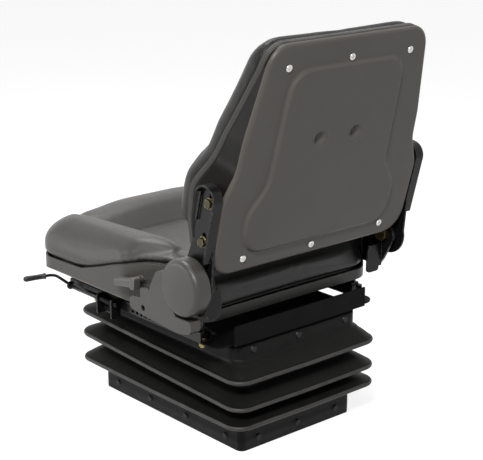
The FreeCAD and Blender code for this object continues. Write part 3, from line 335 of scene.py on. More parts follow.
def tube(name: str, path: Array, radius: float, sides: int) -> bpy.types.Object:
    """Round tube along a path, its ring turned into the plane across the path's direction.

    Args:
        name: Object name.
        path: Array of shape (n, 3), millimetres.
        radius: Tube radius.
        sides: Points round the ring.

    Returns:
        The tube, with its ends drawn in to points.
    """
    ahead = np.roll(path, -1, axis=0) - np.roll(path, 1, axis=0)
    ahead[0], ahead[-1] = path[1] - path[0], path[-1] - path[-2]
    ahead /= np.linalg.norm(ahead, axis=1, keepdims=True)
    side = np.cross(ahead, (0.0, 0.0, 1.0))
    flat = np.linalg.norm(side, axis=1, keepdims=True) < 1e-4
    side = np.where(flat, [1.0, 0.0, 0.0], side)
    side /= np.linalg.norm(side, axis=1, keepdims=True)
    lift = np.cross(side, ahead)
    angle = np.linspace(0.0, 2.0 * np.pi, sides, endpoint=False)
    ring = side[:, None, :] * np.cos(angle)[None, :, None] + lift[:, None, :] * np.sin(angle)[None, :, None]
    grid = path[:, None, :] + radius * ring
    caps = [np.repeat(path[k, None, None, :], sides, axis=1) for k in (0, -1)]
    return grid_mesh(name, np.concatenate([caps[0], grid, caps[1]]))


# Node groups and materials


class Maths(Enum):
    """Operations of the Math node that are used here."""

    ADD = "ADD"
    SUBTRACT = "SUBTRACT"
    MULTIPLY = "MULTIPLY"
    POWER = "POWER"
    MAXIMUM = "MAXIMUM"


class Nodes:
    """A node tree with short ways to add, set and join its nodes."""

    def __init__(self, tree: bpy.types.NodeTree) -> None:
        """Keep the tree."""
        self.tree = tree

    def feed(self, end: bpy.types.NodeSocket, value: object) -> None:
        """Join a socket to an input, or set the input to a value.

        Args:
            end: The input.
            value: Socket or value.
        """
        if isinstance(value, bpy.types.NodeSocket):
            self.tree.links.new(value, end)
        else:
            end.default_value = value

    def add(self, kind: str, inputs: dict[str | int, object] | None = None, **settings: object) -> bpy.types.Node:
        """Add a node.

        Args:
            kind: Node type without its ShaderNode prefix.
            inputs: Sockets to join or values to set, by the input's name or number.
            settings: Attributes to set first.

        Returns:
            The node.
        """
        made = self.tree.nodes.new("ShaderNode" + kind)
        for key, value in settings.items():
            setattr(made, key, value)
        for key, value in (inputs or {}).items():
            self.feed(made.inputs[key], value)
        return made

    def maths(self, operation: Maths, first: object, second: object, clamp: bool = False) -> bpy.types.NodeSocket:
        """Add a Math node.

        Args:
            operation: What it does.
            first: Socket or number.
            second: Socket or number.
            clamp: Whether to clamp to 0..1.

        Returns:
            Its output socket.
        """
        return self.add("Math", {0: first, 1: second}, operation=operation.value, use_clamp=clamp).outputs[0]

    def mixed(self, base: bpy.types.NodeSocket, other: tuple[float, ...],
              mask: bpy.types.NodeSocket) -> bpy.types.NodeSocket:
        """Mix a fixed colour over another by a mask.

        Args:
            base: Colour underneath.
            other: Linear colour on top.
            mask: The mask.

        Returns:
            Colour socket.
        """
        made = self.add("Mix", {"A": base, "B": (*other, 1.0), "Factor": mask}, data_type="RGBA")
        return made.outputs["Result"]

    def effect(self, name: str, output: str, **values: float) -> bpy.types.NodeSocket:
        """Place a shared effect group.

        Args:
            name: Group name.
            output: Which of its outputs is wanted.
            values: Input values.

        Returns:
            That output.
        """
        return self.add("Group", values, node_tree=EffectGroup.built[name]).outputs[output]


class EffectGroup(Nodes):
    """A shared shader node group whose sockets are numbers, built once."""

    built: dict[str, bpy.types.NodeTree] = {}

    def __init__(self, name: str, inputs: dict[str, float], outputs: tuple[str, ...]) -> None:
        """Make the group with its sockets and the object's own coordinates.

        Args:
            name: Group name.
            inputs: Its inputs with their defaults.
            outputs: Its outputs.
        """
        super().__init__(bpy.data.node_groups.new(name, "ShaderNodeTree"))
        sockets = self.tree.interface
        for label, default in inputs.items():
            sockets.new_socket(name=label, in_out="INPUT", socket_type="NodeSocketFloat").default_value = default
        for label in outputs:
            sockets.new_socket(name=label, in_out="OUTPUT", socket_type="NodeSocketFloat")
        self.source = self.tree.nodes.new("NodeGroupInput").outputs
        self.sink = self.tree.nodes.new("NodeGroupOutput").inputs
        self.place = self.add("TexCoord").outputs["Object"]
        EffectGroup.built[name] = self.tree

    def noise(self, scale: object, detail: float) -> bpy.types.Node:
        """Add a Noise texture in the object's own coordinates."""
        return self.add("TexNoise", {"Vector": self.place, "Scale": scale, "Detail": detail})


def build_effects() -> None:
    """Build the shared groups: hide grain, mottle, lighter edges (rubbed paint, and painted edge highlight) and dust.
    """
    times = Maths.MULTIPLY

    grain = EffectGroup("Hide grain", {"Scale": 900.0, "Crease": 0.5}, ("Height", "Valley"))
    warp = grain.noise(grain.maths(times, grain.source["Scale"], 0.45), 3.0)
    shift = grain.add("VectorMath", {0: warp.outputs["Color"], 1: (0.0012, 0.0012, 0.0012), 2: grain.place},
                      operation="MULTIPLY_ADD")
    cells = grain.add("TexVoronoi", {"Vector": shift.outputs[0], "Scale": grain.source["Scale"]},
                      feature="DISTANCE_TO_EDGE")
    ridge = grain.maths(Maths.POWER, grain.maths(times, cells.outputs["Distance"], 2.2, clamp=True), 0.5)
    uneven = grain.maths(Maths.ADD, grain.maths(times, warp.outputs["Fac"], 0.6), 0.5)
    grain.feed(grain.sink["Height"], grain.maths(times, ridge, uneven))
    valley = grain.maths(times, grain.maths(Maths.SUBTRACT, 1.0, ridge), grain.source["Crease"], clamp=True)
    grain.feed(grain.sink["Valley"], valley)

    mottle = EffectGroup("Mottle", {"Scale": 12.0, "Low": 0.9, "High": 1.1}, ("Value",))
    cloud = mottle.noise(mottle.source["Scale"], 4.0)
    spread = mottle.add("MapRange", {"Value": cloud.outputs["Fac"], "From Min": 0.3, "From Max": 0.7,
                                     "To Min": mottle.source["Low"], "To Max": mottle.source["High"]})
    mottle.feed(mottle.sink["Value"], spread.outputs["Result"])

    # Lighter edges: rubbed paint on most finishes, and on frame_paint a painted edge highlight.
    wear_and_highlight = EffectGroup("Edge wear", {"Radius": 0.002, "Amount": 0.5}, ("Mask",))
    soft = wear_and_highlight.add("Bevel", {"Radius": wear_and_highlight.source["Radius"]}, samples=6)
    dot = wear_and_highlight.add("VectorMath", {0: soft.outputs["Normal"], 1: wear_and_highlight.add("NewGeometry").outputs["Normal"]},
                   operation="DOT_PRODUCT")
    edge = wear_and_highlight.maths(times, wear_and_highlight.maths(Maths.SUBTRACT, 1.0, dot.outputs["Value"]), 5.0, clamp=True)
    chips = wear_and_highlight.noise(160.0, 5.0)
    broken = wear_and_highlight.maths(times, wear_and_highlight.maths(Maths.SUBTRACT, chips.outputs["Fac"], 0.42), 5.0, clamp=True)
    wear_and_highlight_mask = wear_and_highlight.maths(times, wear_and_highlight.maths(times, edge, broken), wear_and_highlight.source["Amount"], clamp=True)
    wear_and_highlight.feed(wear_and_highlight.sink["Mask"], wear_and_highlight_mask)

    dust = EffectGroup("Dust", {"Amount": 0.2}, ("Mask",))
    split = dust.add("SeparateXYZ", {0: dust.add("NewGeometry").outputs["Normal"]})
    film = dust.noise(35.0, 6.0)
    up = dust.maths(times, dust.maths(Maths.ADD, split.outputs["Z"], 0.15), 0.9, clamp=True)
    laid = dust.maths(times, dust.maths(times, up, film.outputs["Fac"]), dust.source["Amount"], clamp=True)
    dust.feed(dust.sink["Mask"], laid)


@dataclass(frozen=True)
class Finish:
    """A painted, moulded, metal or covered surface built on the Principled shader."""

    name: str
    colour: tuple[float, float, float]
    roughness: float
    metallic: float = 0.0
    grain_scale: float = 900.0
    grain_depth: float = 0.0
    valley_dark: float = 0.0
    mottle_scale: float = 14.0
    mottle_span: float = 0.08
    # Lighter edges: rubbed paint, and on frame_paint a painted edge highlight.
    wear_and_highlight: float = 0.0
    wear_and_highlight_colour: tuple[float, float, float] = (0.25, 0.24, 0.23)
    dust: float = 0.0
    dust_colour: tuple[float, float, float] = (0.30, 0.28, 0.25)
    sheen: float = 0.0
    edge_round: float = 0.0
    orange_peel: float = 0.000004
    specular: float = 0.5
    # Painted shade under the backrest: from this depth rearwards the colour is darkened.
    rear_shade_from: float = 0.0
    rear_shade_colour: tuple[float, float, float] = (0.014, 0.013, 0.012)

    def build(self) -> bpy.types.Material:
        """Build the material: its colour in layers, a varied roughness, and its relief.

        Returns:
            The node material.
        """
        material = bpy.data.materials.new(self.name)
        material.use_nodes = True
        nodes = Nodes(material.node_tree)
        varied = nodes.effect("Mottle", "Value", Scale=self.mottle_scale, Low=1.0 - self.mottle_span,
                              High=1.0 + self.mottle_span)
        colour = nodes.add("VectorMath", {0: self.colour, "Scale": varied}, operation="SCALE").outputs[0]
        # Painted shade: the rear part, under the backrest, is darkened.
        if self.rear_shade_from > 0.0:
            colour = nodes.mixed(colour, self.rear_shade_colour, self.behind(nodes))
        if self.grain_depth > 0.0:
            valley = nodes.effect("Hide grain", "Valley", Scale=self.grain_scale, Crease=1.0)
            dark = tuple(c * 0.45 for c in self.colour)
            colour = nodes.mixed(colour, dark, nodes.maths(Maths.MULTIPLY, valley, self.valley_dark))
        if self.dust > 0.0:
            colour = nodes.mixed(colour, self.dust_colour, nodes.effect("Dust", "Mask", Amount=self.dust))
        # Lighter edges: rubbed paint, and on frame_paint a painted edge highlight.
        if self.wear_and_highlight > 0.0:
            wear_and_highlight_mask = nodes.effect("Edge wear", "Mask", Radius=0.0018, Amount=self.wear_and_highlight)
            colour = nodes.mixed(colour, self.wear_and_highlight_colour, wear_and_highlight_mask)
        rough = nodes.effect("Mottle", "Value", Scale=self.mottle_scale * 2.3, Low=self.roughness * 0.9,
                             High=min(1.0, self.roughness * 1.1))
        shader = material.node_tree.nodes["Principled BSDF"]
        for name, value in (("Base Color", colour), ("Roughness", rough), ("Normal", self.relief(nodes)),
                            ("Metallic", self.metallic), ("Sheen Weight", self.sheen),
                            ("Specular IOR Level", self.specular)):
            nodes.feed(shader.inputs[name], value)
        return material

    def relief(self, nodes: Nodes) -> bpy.types.NodeSocket:
        """Grain or paint texture over rounded edges, through one Bump node.

        Args:
            nodes: The material's nodes.

        Returns:
            The normal.
        """
        if self.grain_depth > 0.0:
            height = nodes.effect("Hide grain", "Height", Scale=self.grain_scale, Crease=1.0)
            inputs = {"Distance": self.grain_depth, "Height": height}
        else:
            height = nodes.effect("Mottle", "Value", Scale=420.0, Low=0.0, High=1.0)
            inputs = {"Distance": self.orange_peel, "Height": height}
        if self.edge_round > 0.0:
            inputs["Normal"] = nodes.add("Bevel", {"Radius": self.edge_round}, samples=6).outputs["Normal"]
        return nodes.add("Bump", inputs).outputs["Normal"]

    def behind(self, nodes: Nodes) -> bpy.types.NodeSocket:
        """Mask of the painted shade under the backrest: the part behind a line across the seat, softened over 6 mm.

        Args:
            nodes: The material's nodes.

        Returns:
            0 in front of the line, 1 behind it.
        """
        split = nodes.add("SeparateXYZ", {0: nodes.add("TexCoord").outputs["Object"]})
        edge = nodes.add("MapRange", {"Value": split.outputs["Y"], "From Min": self.rear_shade_from - 0.003,
                                      "From Max": self.rear_shade_from + 0.003})
        return edge.outputs["Result"]


FINISHES: dict[str, Finish] = {finish.name: finish for finish in (
    Finish("shell_paint", (0.082, 0.075, 0.067), 0.40, mottle_span=0.05, wear_and_highlight=0.25, orange_peel=0.00003,
           specular=0.35),
    # Painted shade: a much darker copy of shell_paint for the plate's turned side wall.
    Finish("shell_side_painted_shade", (0.008, 0.007, 0.0065), 0.36, mottle_span=0.06, orange_peel=0.00003, specular=0.06),
    # Painted shade: the pan's rear, under the backrest, is darkened.
    Finish("pan_paint", (0.060, 0.056, 0.050), 0.40, mottle_span=0.06, wear_and_highlight=0.3, edge_round=0.0012,
           orange_peel=0.00004, specular=0.35, rear_shade_from=0.150),
    # frame_paint: its lighter edges are a painted edge highlight.
    Finish("frame_paint", (0.006, 0.006, 0.006), 0.28, wear_and_highlight=0.6, wear_and_highlight_colour=(0.20, 0.19, 0.18),
           edge_round=0.0009, orange_peel=0.00003, specular=0.2),
    Finish("frame_matte", (0.004, 0.004, 0.004), 0.55, orange_peel=0.00003, specular=0.06),
    Finish("grip_grey", (0.075, 0.070, 0.064), 0.38, grain_scale=1500.0, grain_depth=0.00005, wear_and_highlight=0.8,
           wear_and_highlight_colour=(0.28, 0.27, 0.25), edge_round=0.0010),
    Finish("rail_steel", (0.010, 0.010, 0.010), 0.36, wear_and_highlight=0.5, wear_and_highlight_colour=(0.22, 0.21, 0.20),
           edge_round=0.0006, orange_peel=0.00002, specular=0.3),
    Finish("bright_steel", (0.62, 0.61, 0.58), 0.30, metallic=1.0, mottle_span=0.08, edge_round=0.0004),
    Finish("yellow_zinc", (0.28, 0.22, 0.09), 0.36, metallic=1.0, mottle_span=0.18, mottle_scale=60.0,
           edge_round=0.0005),
    Finish("bolt_black", (0.050, 0.044, 0.030), 0.38, metallic=0.8, wear_and_highlight=1.0, wear_and_highlight_colour=(0.62, 0.50, 0.20),
           edge_round=0.0005),
    Finish("rod_chrome", (0.75, 0.75, 0.76), 0.08, metallic=1.0, mottle_span=0.02),
    Finish("spring_steel", (0.040, 0.040, 0.044), 0.40, mottle_span=0.1, orange_peel=0.00003),
    # Painted shade: the seat cushion's rear, under the backrest, is darkened.
    Finish("seat_vinyl", (0.047, 0.043, 0.038), 0.36, rear_shade_from=0.140, grain_scale=620.0, grain_depth=0.00020,
           valley_dark=0.35, mottle_span=0.06, sheen=0.04, specular=0.4),
    # Painted shade: the same vinyl as seat_vinyl, made much darker for the backrest cushion.
    Finish("back_vinyl", (0.014, 0.013, 0.012), 0.38, grain_scale=620.0, grain_depth=0.00020,
           valley_dark=0.35, mottle_span=0.06, sheen=0.04, specular=0.18),
    Finish("edge_trim", (0.034, 0.032, 0.030), 0.58, mottle_span=0.08, specular=0.35),
    Finish("cover_plastic", (0.054, 0.050, 0.045), 0.34, grain_scale=1300.0, grain_depth=0.00008,
           valley_dark=0.1, edge_round=0.0014, specular=0.4),
    Finish("grip_plastic", (0.014, 0.014, 0.014), 0.40, grain_scale=1500.0, grain_depth=0.00006,
           edge_round=0.001, specular=0.35),
    Finish("boot_rubber", (0.0048, 0.0048, 0.0046), 0.50, mottle_span=0.15, dust=0.02,
           orange_peel=0.00005, specular=0.11),
    # Painted highlight: a much lighter copy of boot_rubber on the ridges' bullnoses, standing in for their reflection.
    Finish("boot_ridge_painted_highlight", (0.046, 0.044, 0.041), 0.52, mottle_span=0.25, mottle_scale=30.0,
           orange_peel=0.00005, specular=0.3),
    Finish("clip_plastic", (0.008, 0.008, 0.008), 0.42, orange_peel=0.00002, specular=0.25),
)}


OWN_FINISH: dict[str, str] = {"top_frame": "frame_matte", "recline_lever_grip": "grip_grey", "arm_bolts": "bolt_black"}


class Wardrobe:
    """Builds each finish once and dresses pieces and CAD nodes with it."""

    def __init__(self) -> None:
        """Build every finish."""
        self.made = {slot: finish.build() for slot, finish in FINISHES.items()}

    def dress(self, obj: bpy.types.Object, slot: str) -> bpy.types.Object:
        """Give a piece its finish and its slot.

        Args:
            obj: The piece.
            slot: The record's slot.

        Returns:
            The piece.
        """
        obj.data.materials.clear()
        obj.data.materials.append(self.made[slot])
        return obj

    def dress_nodes(self, frame: dict) -> None:
        """Put the finishes on all carried-over CAD nodes.
        """
        slots = {s["node"]: s["material_slot"] for s in frame["record"]["subparts"]}
        for name, obj in frame["nodes"].items():
            if obj.hide_render:
                continue
            for k in range(len(obj.material_slots)):
                obj.material_slots[k].material = self.made[OWN_FINISH.get(name, slots[name])]

    def second(self, obj: bpy.types.Object, finish: str, faces: Array) -> None:
        """Give some faces of a dressed piece a second finish.

        Args:
            obj: The piece.
            finish: The second finish's name.
            faces: Boolean array over the faces.
        """
        obj.data.materials.append(self.made[finish])
        obj.data.polygons.foreach_set("material_index", faces.astype(np.int32))
        obj.data.update()


# Sub-assemblies


@dataclass
class BackFrame:
    """The backrest's own upright frame: x across, w forwards negative, v upwards, tipped back about X."""

    tilt: float = math.radians(14.27)
    y: float = 221.8
    z: float = 349.65

    def place(self, x: Array, w: Array, v: Array) -> Array:
        """Points of the seat's frame: y = y0 + w cos t + v sin t, z = z0 - w sin t + v cos t.

        Args:
            x: Across.
            w: Depth, negative to the front.
            v: Height along the plate.

        Returns:
            Points stacked along a new last axis.
        """
        c, s = math.cos(self.tilt), math.sin(self.tilt)
        return np.stack([x, self.y + w * c + v * s, self.z - w * s + v * c], axis=-1)

    def local(self, points: Array) -> tuple[Array, Array]:
        """The way back: w = dy cos t - dz sin t, v = dy sin t + dz cos t.

        Args:
            points: Points of the seat's frame, of shape (n, 3).

        Returns:
            Their depths w and heights v.
        """
        c, s = math.cos(self.tilt), math.sin(self.tilt)
        dy, dz = points[:, 1] - self.y, points[:, 2] - self.z
        return dy * c - dz * s, dy * s + dz * c


@dataclass
class Backrest:
    """Pressed plate, ribbed edging and cushion of the backrest."""

    wardrobe: Wardrobe
    frame: BackFrame = field(default_factory=BackFrame)
    top: float = 352.0
    bottom: float = -25.0
    half_w: float = 214.0
    mid_half_w: float = 193.0
    top_half_w: float = 170.0
    corner: float = 42.0
    edge_r: float = 7.0
    wall: float = 3.0
    rise: float = 5.8
    dimple: tuple[float, float] = (39.0, 189.0)
    dimple_r: float = 16.0
    dimple_depth: float = 8.5
    trim_w: float = 13.0
    trim_t: float = 4.6
    trim_gap: float = 0.6
    rib: float = 3.1
    pad_edge: float = 34.0
    middle: tuple[float, float] = (0.0, 150.0)
    rim_v: tuple[float, ...] = (-80.0, 2.0, 46.0, 108.0, 178.0, 246.0, 318.0, 420.0)
    rim_w: tuple[float, ...] = (-44.0, -46.0, -64.0, -69.0, -46.0, -28.0, -11.0, -9.0)

    def plan(self, inset: float, count: int) -> Array:
        """The plate's outline (x, v), moved in all round.

        Args:
            inset: How far to move in.
            count: Samples.

        Returns:
            Array of shape (count, 2).
        """
        w, m, n = self.half_w - inset, self.mid_half_w - inset, self.top_half_w - inset
        c = self.corner - inset
        half = [(w - 2, self.bottom + inset, c), (w, 104, 40), (m, 152, 60), (m - 3, 200, 60), (n, 322, 40),
                (n - 12, self.top - inset, c - 6)]
        return mirrored_outline(half, count)

    def ring(self, line: Array, w: Array | float) -> Array:
        """One row of a grid: the points of an outline (x, v) at their depths w."""
        return self.frame.place(line[:, 0], w, line[:, 1])[None]

    def rim(self, v: Array) -> Array:
        """Depth of the plate's forward rim at a height, softened by averaging over +-14 mm.

        Args:
            v: Heights along the plate.

        Returns:
            Depths w.
        """
        shifts = np.linspace(-14.0, 14.0, 9)
        return np.mean([np.interp(v + d, self.rim_v, self.rim_w) for d in shifts], axis=0)

    def pressed(self, x: Array, v: Array) -> Array:
        """Relief of the plate: a raised panel with a soft step all round and two round dimples.

        The panel's height is eased over 6.4 mm of signed distance to its outline; each dimple is a cosine bowl.

        Args:
            x: Across.
            v: Up the plate.

        Returns:
            Height above the plate's face.
        """
        half = [(160, 8, 40), (160, 78, 40), (127, 122, 45), (122, 250, 60), (118, 308, 36)]
        line = mirrored_outline(half, 420)
        points = np.stack([x.ravel(), v.ravel()], axis=1)
        gap = distance_to_line(points, line)
        signed = np.where(inside_line(points, line), gap, -gap).reshape(x.shape)
        height = self.rise * eased(signed, -3.4, 3.0)
        for side in (-1.0, 1.0):
            r = np.hypot(x - side * self.dimple[0], v - self.dimple[1])
            height -= self.dimple_depth * (0.5 + 0.5 * np.cos(np.pi * np.clip(r / self.dimple_r, 0.0, 1.0)))
            height += 0.5 * np.exp(-((r - self.dimple_r + 0.5) / 2.2) ** 2)
        return height

    def plate(self) -> bpy.types.Object:
        """Back plate: rings from the middle to the edge, a quarter round, then the turned side wall, darkened as
        painted shade.

        Returns:
            The plate.
        """
        count = 400
        edge_line = self.plan(self.edge_r, count)
        centre = np.array(self.middle)
        share = np.linspace(0.0, 1.0, 104)[:, None, None] ** 0.92
        face = centre + share * (edge_line - centre)[None]
        x, v = face[..., 0], face[..., 1]
        rows = [self.frame.place(x, self.pressed(x, v), v)]
        for phi in np.linspace(0.0, np.pi / 2.0, 9)[1:]:
            line = self.plan(self.edge_r * (1.0 - math.sin(phi)), count)
            rows.append(self.ring(line, -self.edge_r * (1.0 - math.cos(phi))))
        line = self.plan(0.0, count)
        rim = self.rim(line[:, 1])
        for t in np.linspace(0.0, 1.0, 14)[1:]:
            rows.append(self.ring(line, -self.edge_r + t * (rim + self.edge_r)))
        obj = grid_mesh("back_plate", np.concatenate(rows))
        self.face_out(obj)
        thicken(obj, self.wall)
        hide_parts("back_shell")
        self.wardrobe.dress(obj, "shell_paint")
        # The turned side wall gets the darker side finish: painted shade.
        turned = self.frame.local(centres_of(obj))[0] < -self.edge_r
        self.wardrobe.second(obj, "shell_side_painted_shade", turned)
        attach(obj, "backrest")
        return obj

    def face_out(self, obj: bpy.types.Object) -> None:
        """Turn an open shell so that its broad side faces the rear.

        Args:
            obj: The plate.
        """
        obj.data.update()
        normal = normals_of(obj)
        back = np.array([0.0, math.cos(self.frame.tilt), -math.sin(self.frame.tilt)])
        if (normal @ back).sum() < 0.0:
            obj.data.flip_normals()

    def edging(self) -> bpy.types.Object:
        """Ribbed edging strip: a rounded section carried round the rim, its face waved at every rib.

        Returns:
            The strip.
        """
        count = 3600
        line = self.plan(self.trim_gap, count)
        length = np.linalg.norm(np.diff(np.vstack([line, line[:1]]), axis=0), axis=1).sum()
        ribs = round(length / self.rib)
        wave = 0.5 + 0.5 * np.cos(np.arange(count) / count * ribs * 2.0 * np.pi)
        rim = self.rim(line[:, 1])
        inner = self.plan(self.trim_gap + self.trim_t, count)
        across = (line - inner) / self.trim_t
        start, width = rim - self.trim_gap, self.trim_w - 2.0 * self.trim_gap
        rows = []
        share = np.array([0.0, 0.03, 0.12, 0.28, 0.5, 0.72, 0.88, 0.97, 1.0])
        bulge = np.sqrt(np.clip(1.0 - (2.0 * share - 1.0) ** 4, 0.0, 1.0))
        for t, b in zip(share, bulge):
            out = (b - 1.0) * 2.2 - 0.55 * wave * b
            rows.append(self.ring(line + across * out[:, None], start - t * width))
        for t in (1.0, 0.0):
            rows.append(self.ring(inner, start - t * width))
        obj = grid_mesh("back_edging", np.concatenate(rows), wrap=True)
        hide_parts("back_edge_trim")
        self.wardrobe.dress(obj, "edge_trim")
        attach(obj, "backrest")
        return obj

    def pad_plan(self, inset: float, count: int) -> Array:
        """Outline of the cushion's pad (x, v), moved in all round.

        Args:
            inset: How far to move in.
            count: Samples.

        Returns:
            Array of shape (count, 2).
        """
        i = inset
        half = [(184 - i, -46 + i, 36 - i * 0.5), (185 - i, 4, 24), (213 - i, 38, 24), (213 - i, 104, 40),
                (193 - i, 152, 60), (191 - i, 200, 60), (171 - i, 324, 42), (156 - i, 356 - i, 42 - i * 0.5)]
        return mirrored_outline(half, count)

    def pad_depth(self, x: Array, v: Array) -> Array:
        """Depth of the cushion's front: a side profile, hollowed across between two side rolls.

        Args:
            x: Across.
            v: Up the plate.

        Returns:
            Depth w, negative to the front.
        """
        knots_v = (-60, -46, -20, 0, 60, 100, 178, 246, 322, 352)
        knots_w = (-92, -98, -107, -112, -119, -119, -98, -80, -62, -48)
        shifts = np.linspace(-16.0, 16.0, 9)
        depth = np.mean([np.interp(v + d, knots_v, knots_w) for d in shifts], axis=0)
        hollow = 5.0 * (1.0 - eased(np.abs(x), 70.0, 165.0)) * eased(v, -20.0, 60.0) * (1.0 - eased(v, 230.0, 330.0))
        return depth + hollow

    def cushion(self) -> bpy.types.Object:
        """Backrest cushion: rings from its rear middle over the edge to its front middle, puffed and seamed.

        Returns:
            The cushion.
        """
        count = 300
        centre = np.array(self.middle)
        start = self.pad_plan(9.0, count)
        rows = []
        for share in (0.0, 0.5, 0.95):
            at = centre + share * (start - centre)
            rows.append(self.ring(at, np.minimum(self.rim(at[:, 1]) * 0.5 - 6.0, -9.0)))
        base = np.minimum(self.rim(self.pad_plan(0.0, count)[:, 1]) - self.trim_w, -10.0)
        for inset, drop in ((7.0, -2.0), (5.0, 0.5), (3.2, 3.0), (2.2, 6.0)):
            rows.append(self.ring(self.pad_plan(inset, count), base - drop))
        low = base - 6.0
        for phi in np.linspace(0.0, np.pi / 2.0, 16)[1:]:
            line = self.pad_plan(2.0 + self.pad_edge * (1.0 - math.cos(phi)), count)
            high = self.pad_depth(line[:, 0], line[:, 1])
            rows.append(self.ring(line, low + (np.minimum(high, low - 8.0) - low) * math.sin(phi)))
        last = self.pad_plan(2.0 + self.pad_edge, count)
        share = np.linspace(1.0, 0.0, 44)[1:, None, None]
        at = centre + share * (last - centre)[None]
        rows.append(self.frame.place(at[..., 0], self.pad_depth(at[..., 0], at[..., 1]), at[..., 1]))
        obj = grid_mesh("back_cushion_cover", np.concatenate(rows))
        puff(obj, voxel=5.0, pressure=3.0, cap=5.0)
        self.seam(obj)
        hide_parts("back_cushion")
        # The backrest cushion's darker vinyl is painted shade.
        self.wardrobe.dress(obj, "back_vinyl")
        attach(obj, "backrest")
        return obj

    def seam(self, obj: bpy.types.Object) -> None:
        """Press a sewn channel round the middle panel of the cushion's front.

        Args:
            obj: The cushion.
        """
        points = points_of(obj)
        w, v = self.frame.local(points)
        line = mirrored_outline([(112, -60, 30), (118, 96, 60), (104, 190, 60), (96, 262, 34)], 300)
        gap = distance_to_line(np.stack([points[:, 0], v], axis=1), line)
        front = eased(-w, 30.0, 55.0)
        press = 4.0 * np.exp(-(gap / 3.2) ** 2) + 2.2 * np.exp(-(gap / 11.0) ** 2)
        put_points(obj, points - normals_of(obj) * (press * front)[:, None])


def puff(obj: bpy.types.Object, voxel: float, pressure: float, cap: float) -> None:
    """Remesh a cushion evenly, blow it up as cloth, cap how far it moves, and subdivide it once.

    Args:
        obj: The cushion, changed in place.
        voxel: Remesh size in millimetres.
        pressure: Cloth pressure.
        cap: Largest move of a point in millimetres.
    """
    remesh = obj.modifiers.new("even", "REMESH")
    remesh.mode = "VOXEL"
    remesh.voxel_size = voxel * MM
    remesh.use_smooth_shade = True
    apply_modifier(obj, "even")
    rest = points_of(obj)
    cloth = obj.modifiers.new("cloth", "CLOTH")
    for key, value in (("quality", 5), ("mass", 0.3), ("tension_stiffness", 25.0), ("compression_stiffness", 25.0),
                       ("bending_stiffness", 2.0), ("use_pressure", True), ("uniform_pressure_force", pressure)):
        setattr(cloth.settings, key, value)
    cloth.settings.effector_weights.gravity = 0.0
    scene = bpy.context.scene
    for step in range(1, CLOTH_FRAMES + 1):
        scene.frame_set(step)
    graph = bpy.context.evaluated_depsgraph_get()
    shift = points_of(obj.evaluated_get(graph)) - rest
    obj.modifiers.remove(cloth)
    scene.frame_set(1)
    size = np.linalg.norm(shift, axis=1, keepdims=True)
    put_points(obj, rest + shift * np.minimum(1.0, cap / np.maximum(size, 1e-6)))
    smooth = obj.modifiers.new("finer", "SUBSURF")
    smooth.levels = smooth.render_levels = 1
    apply_modifier(obj, "finer")


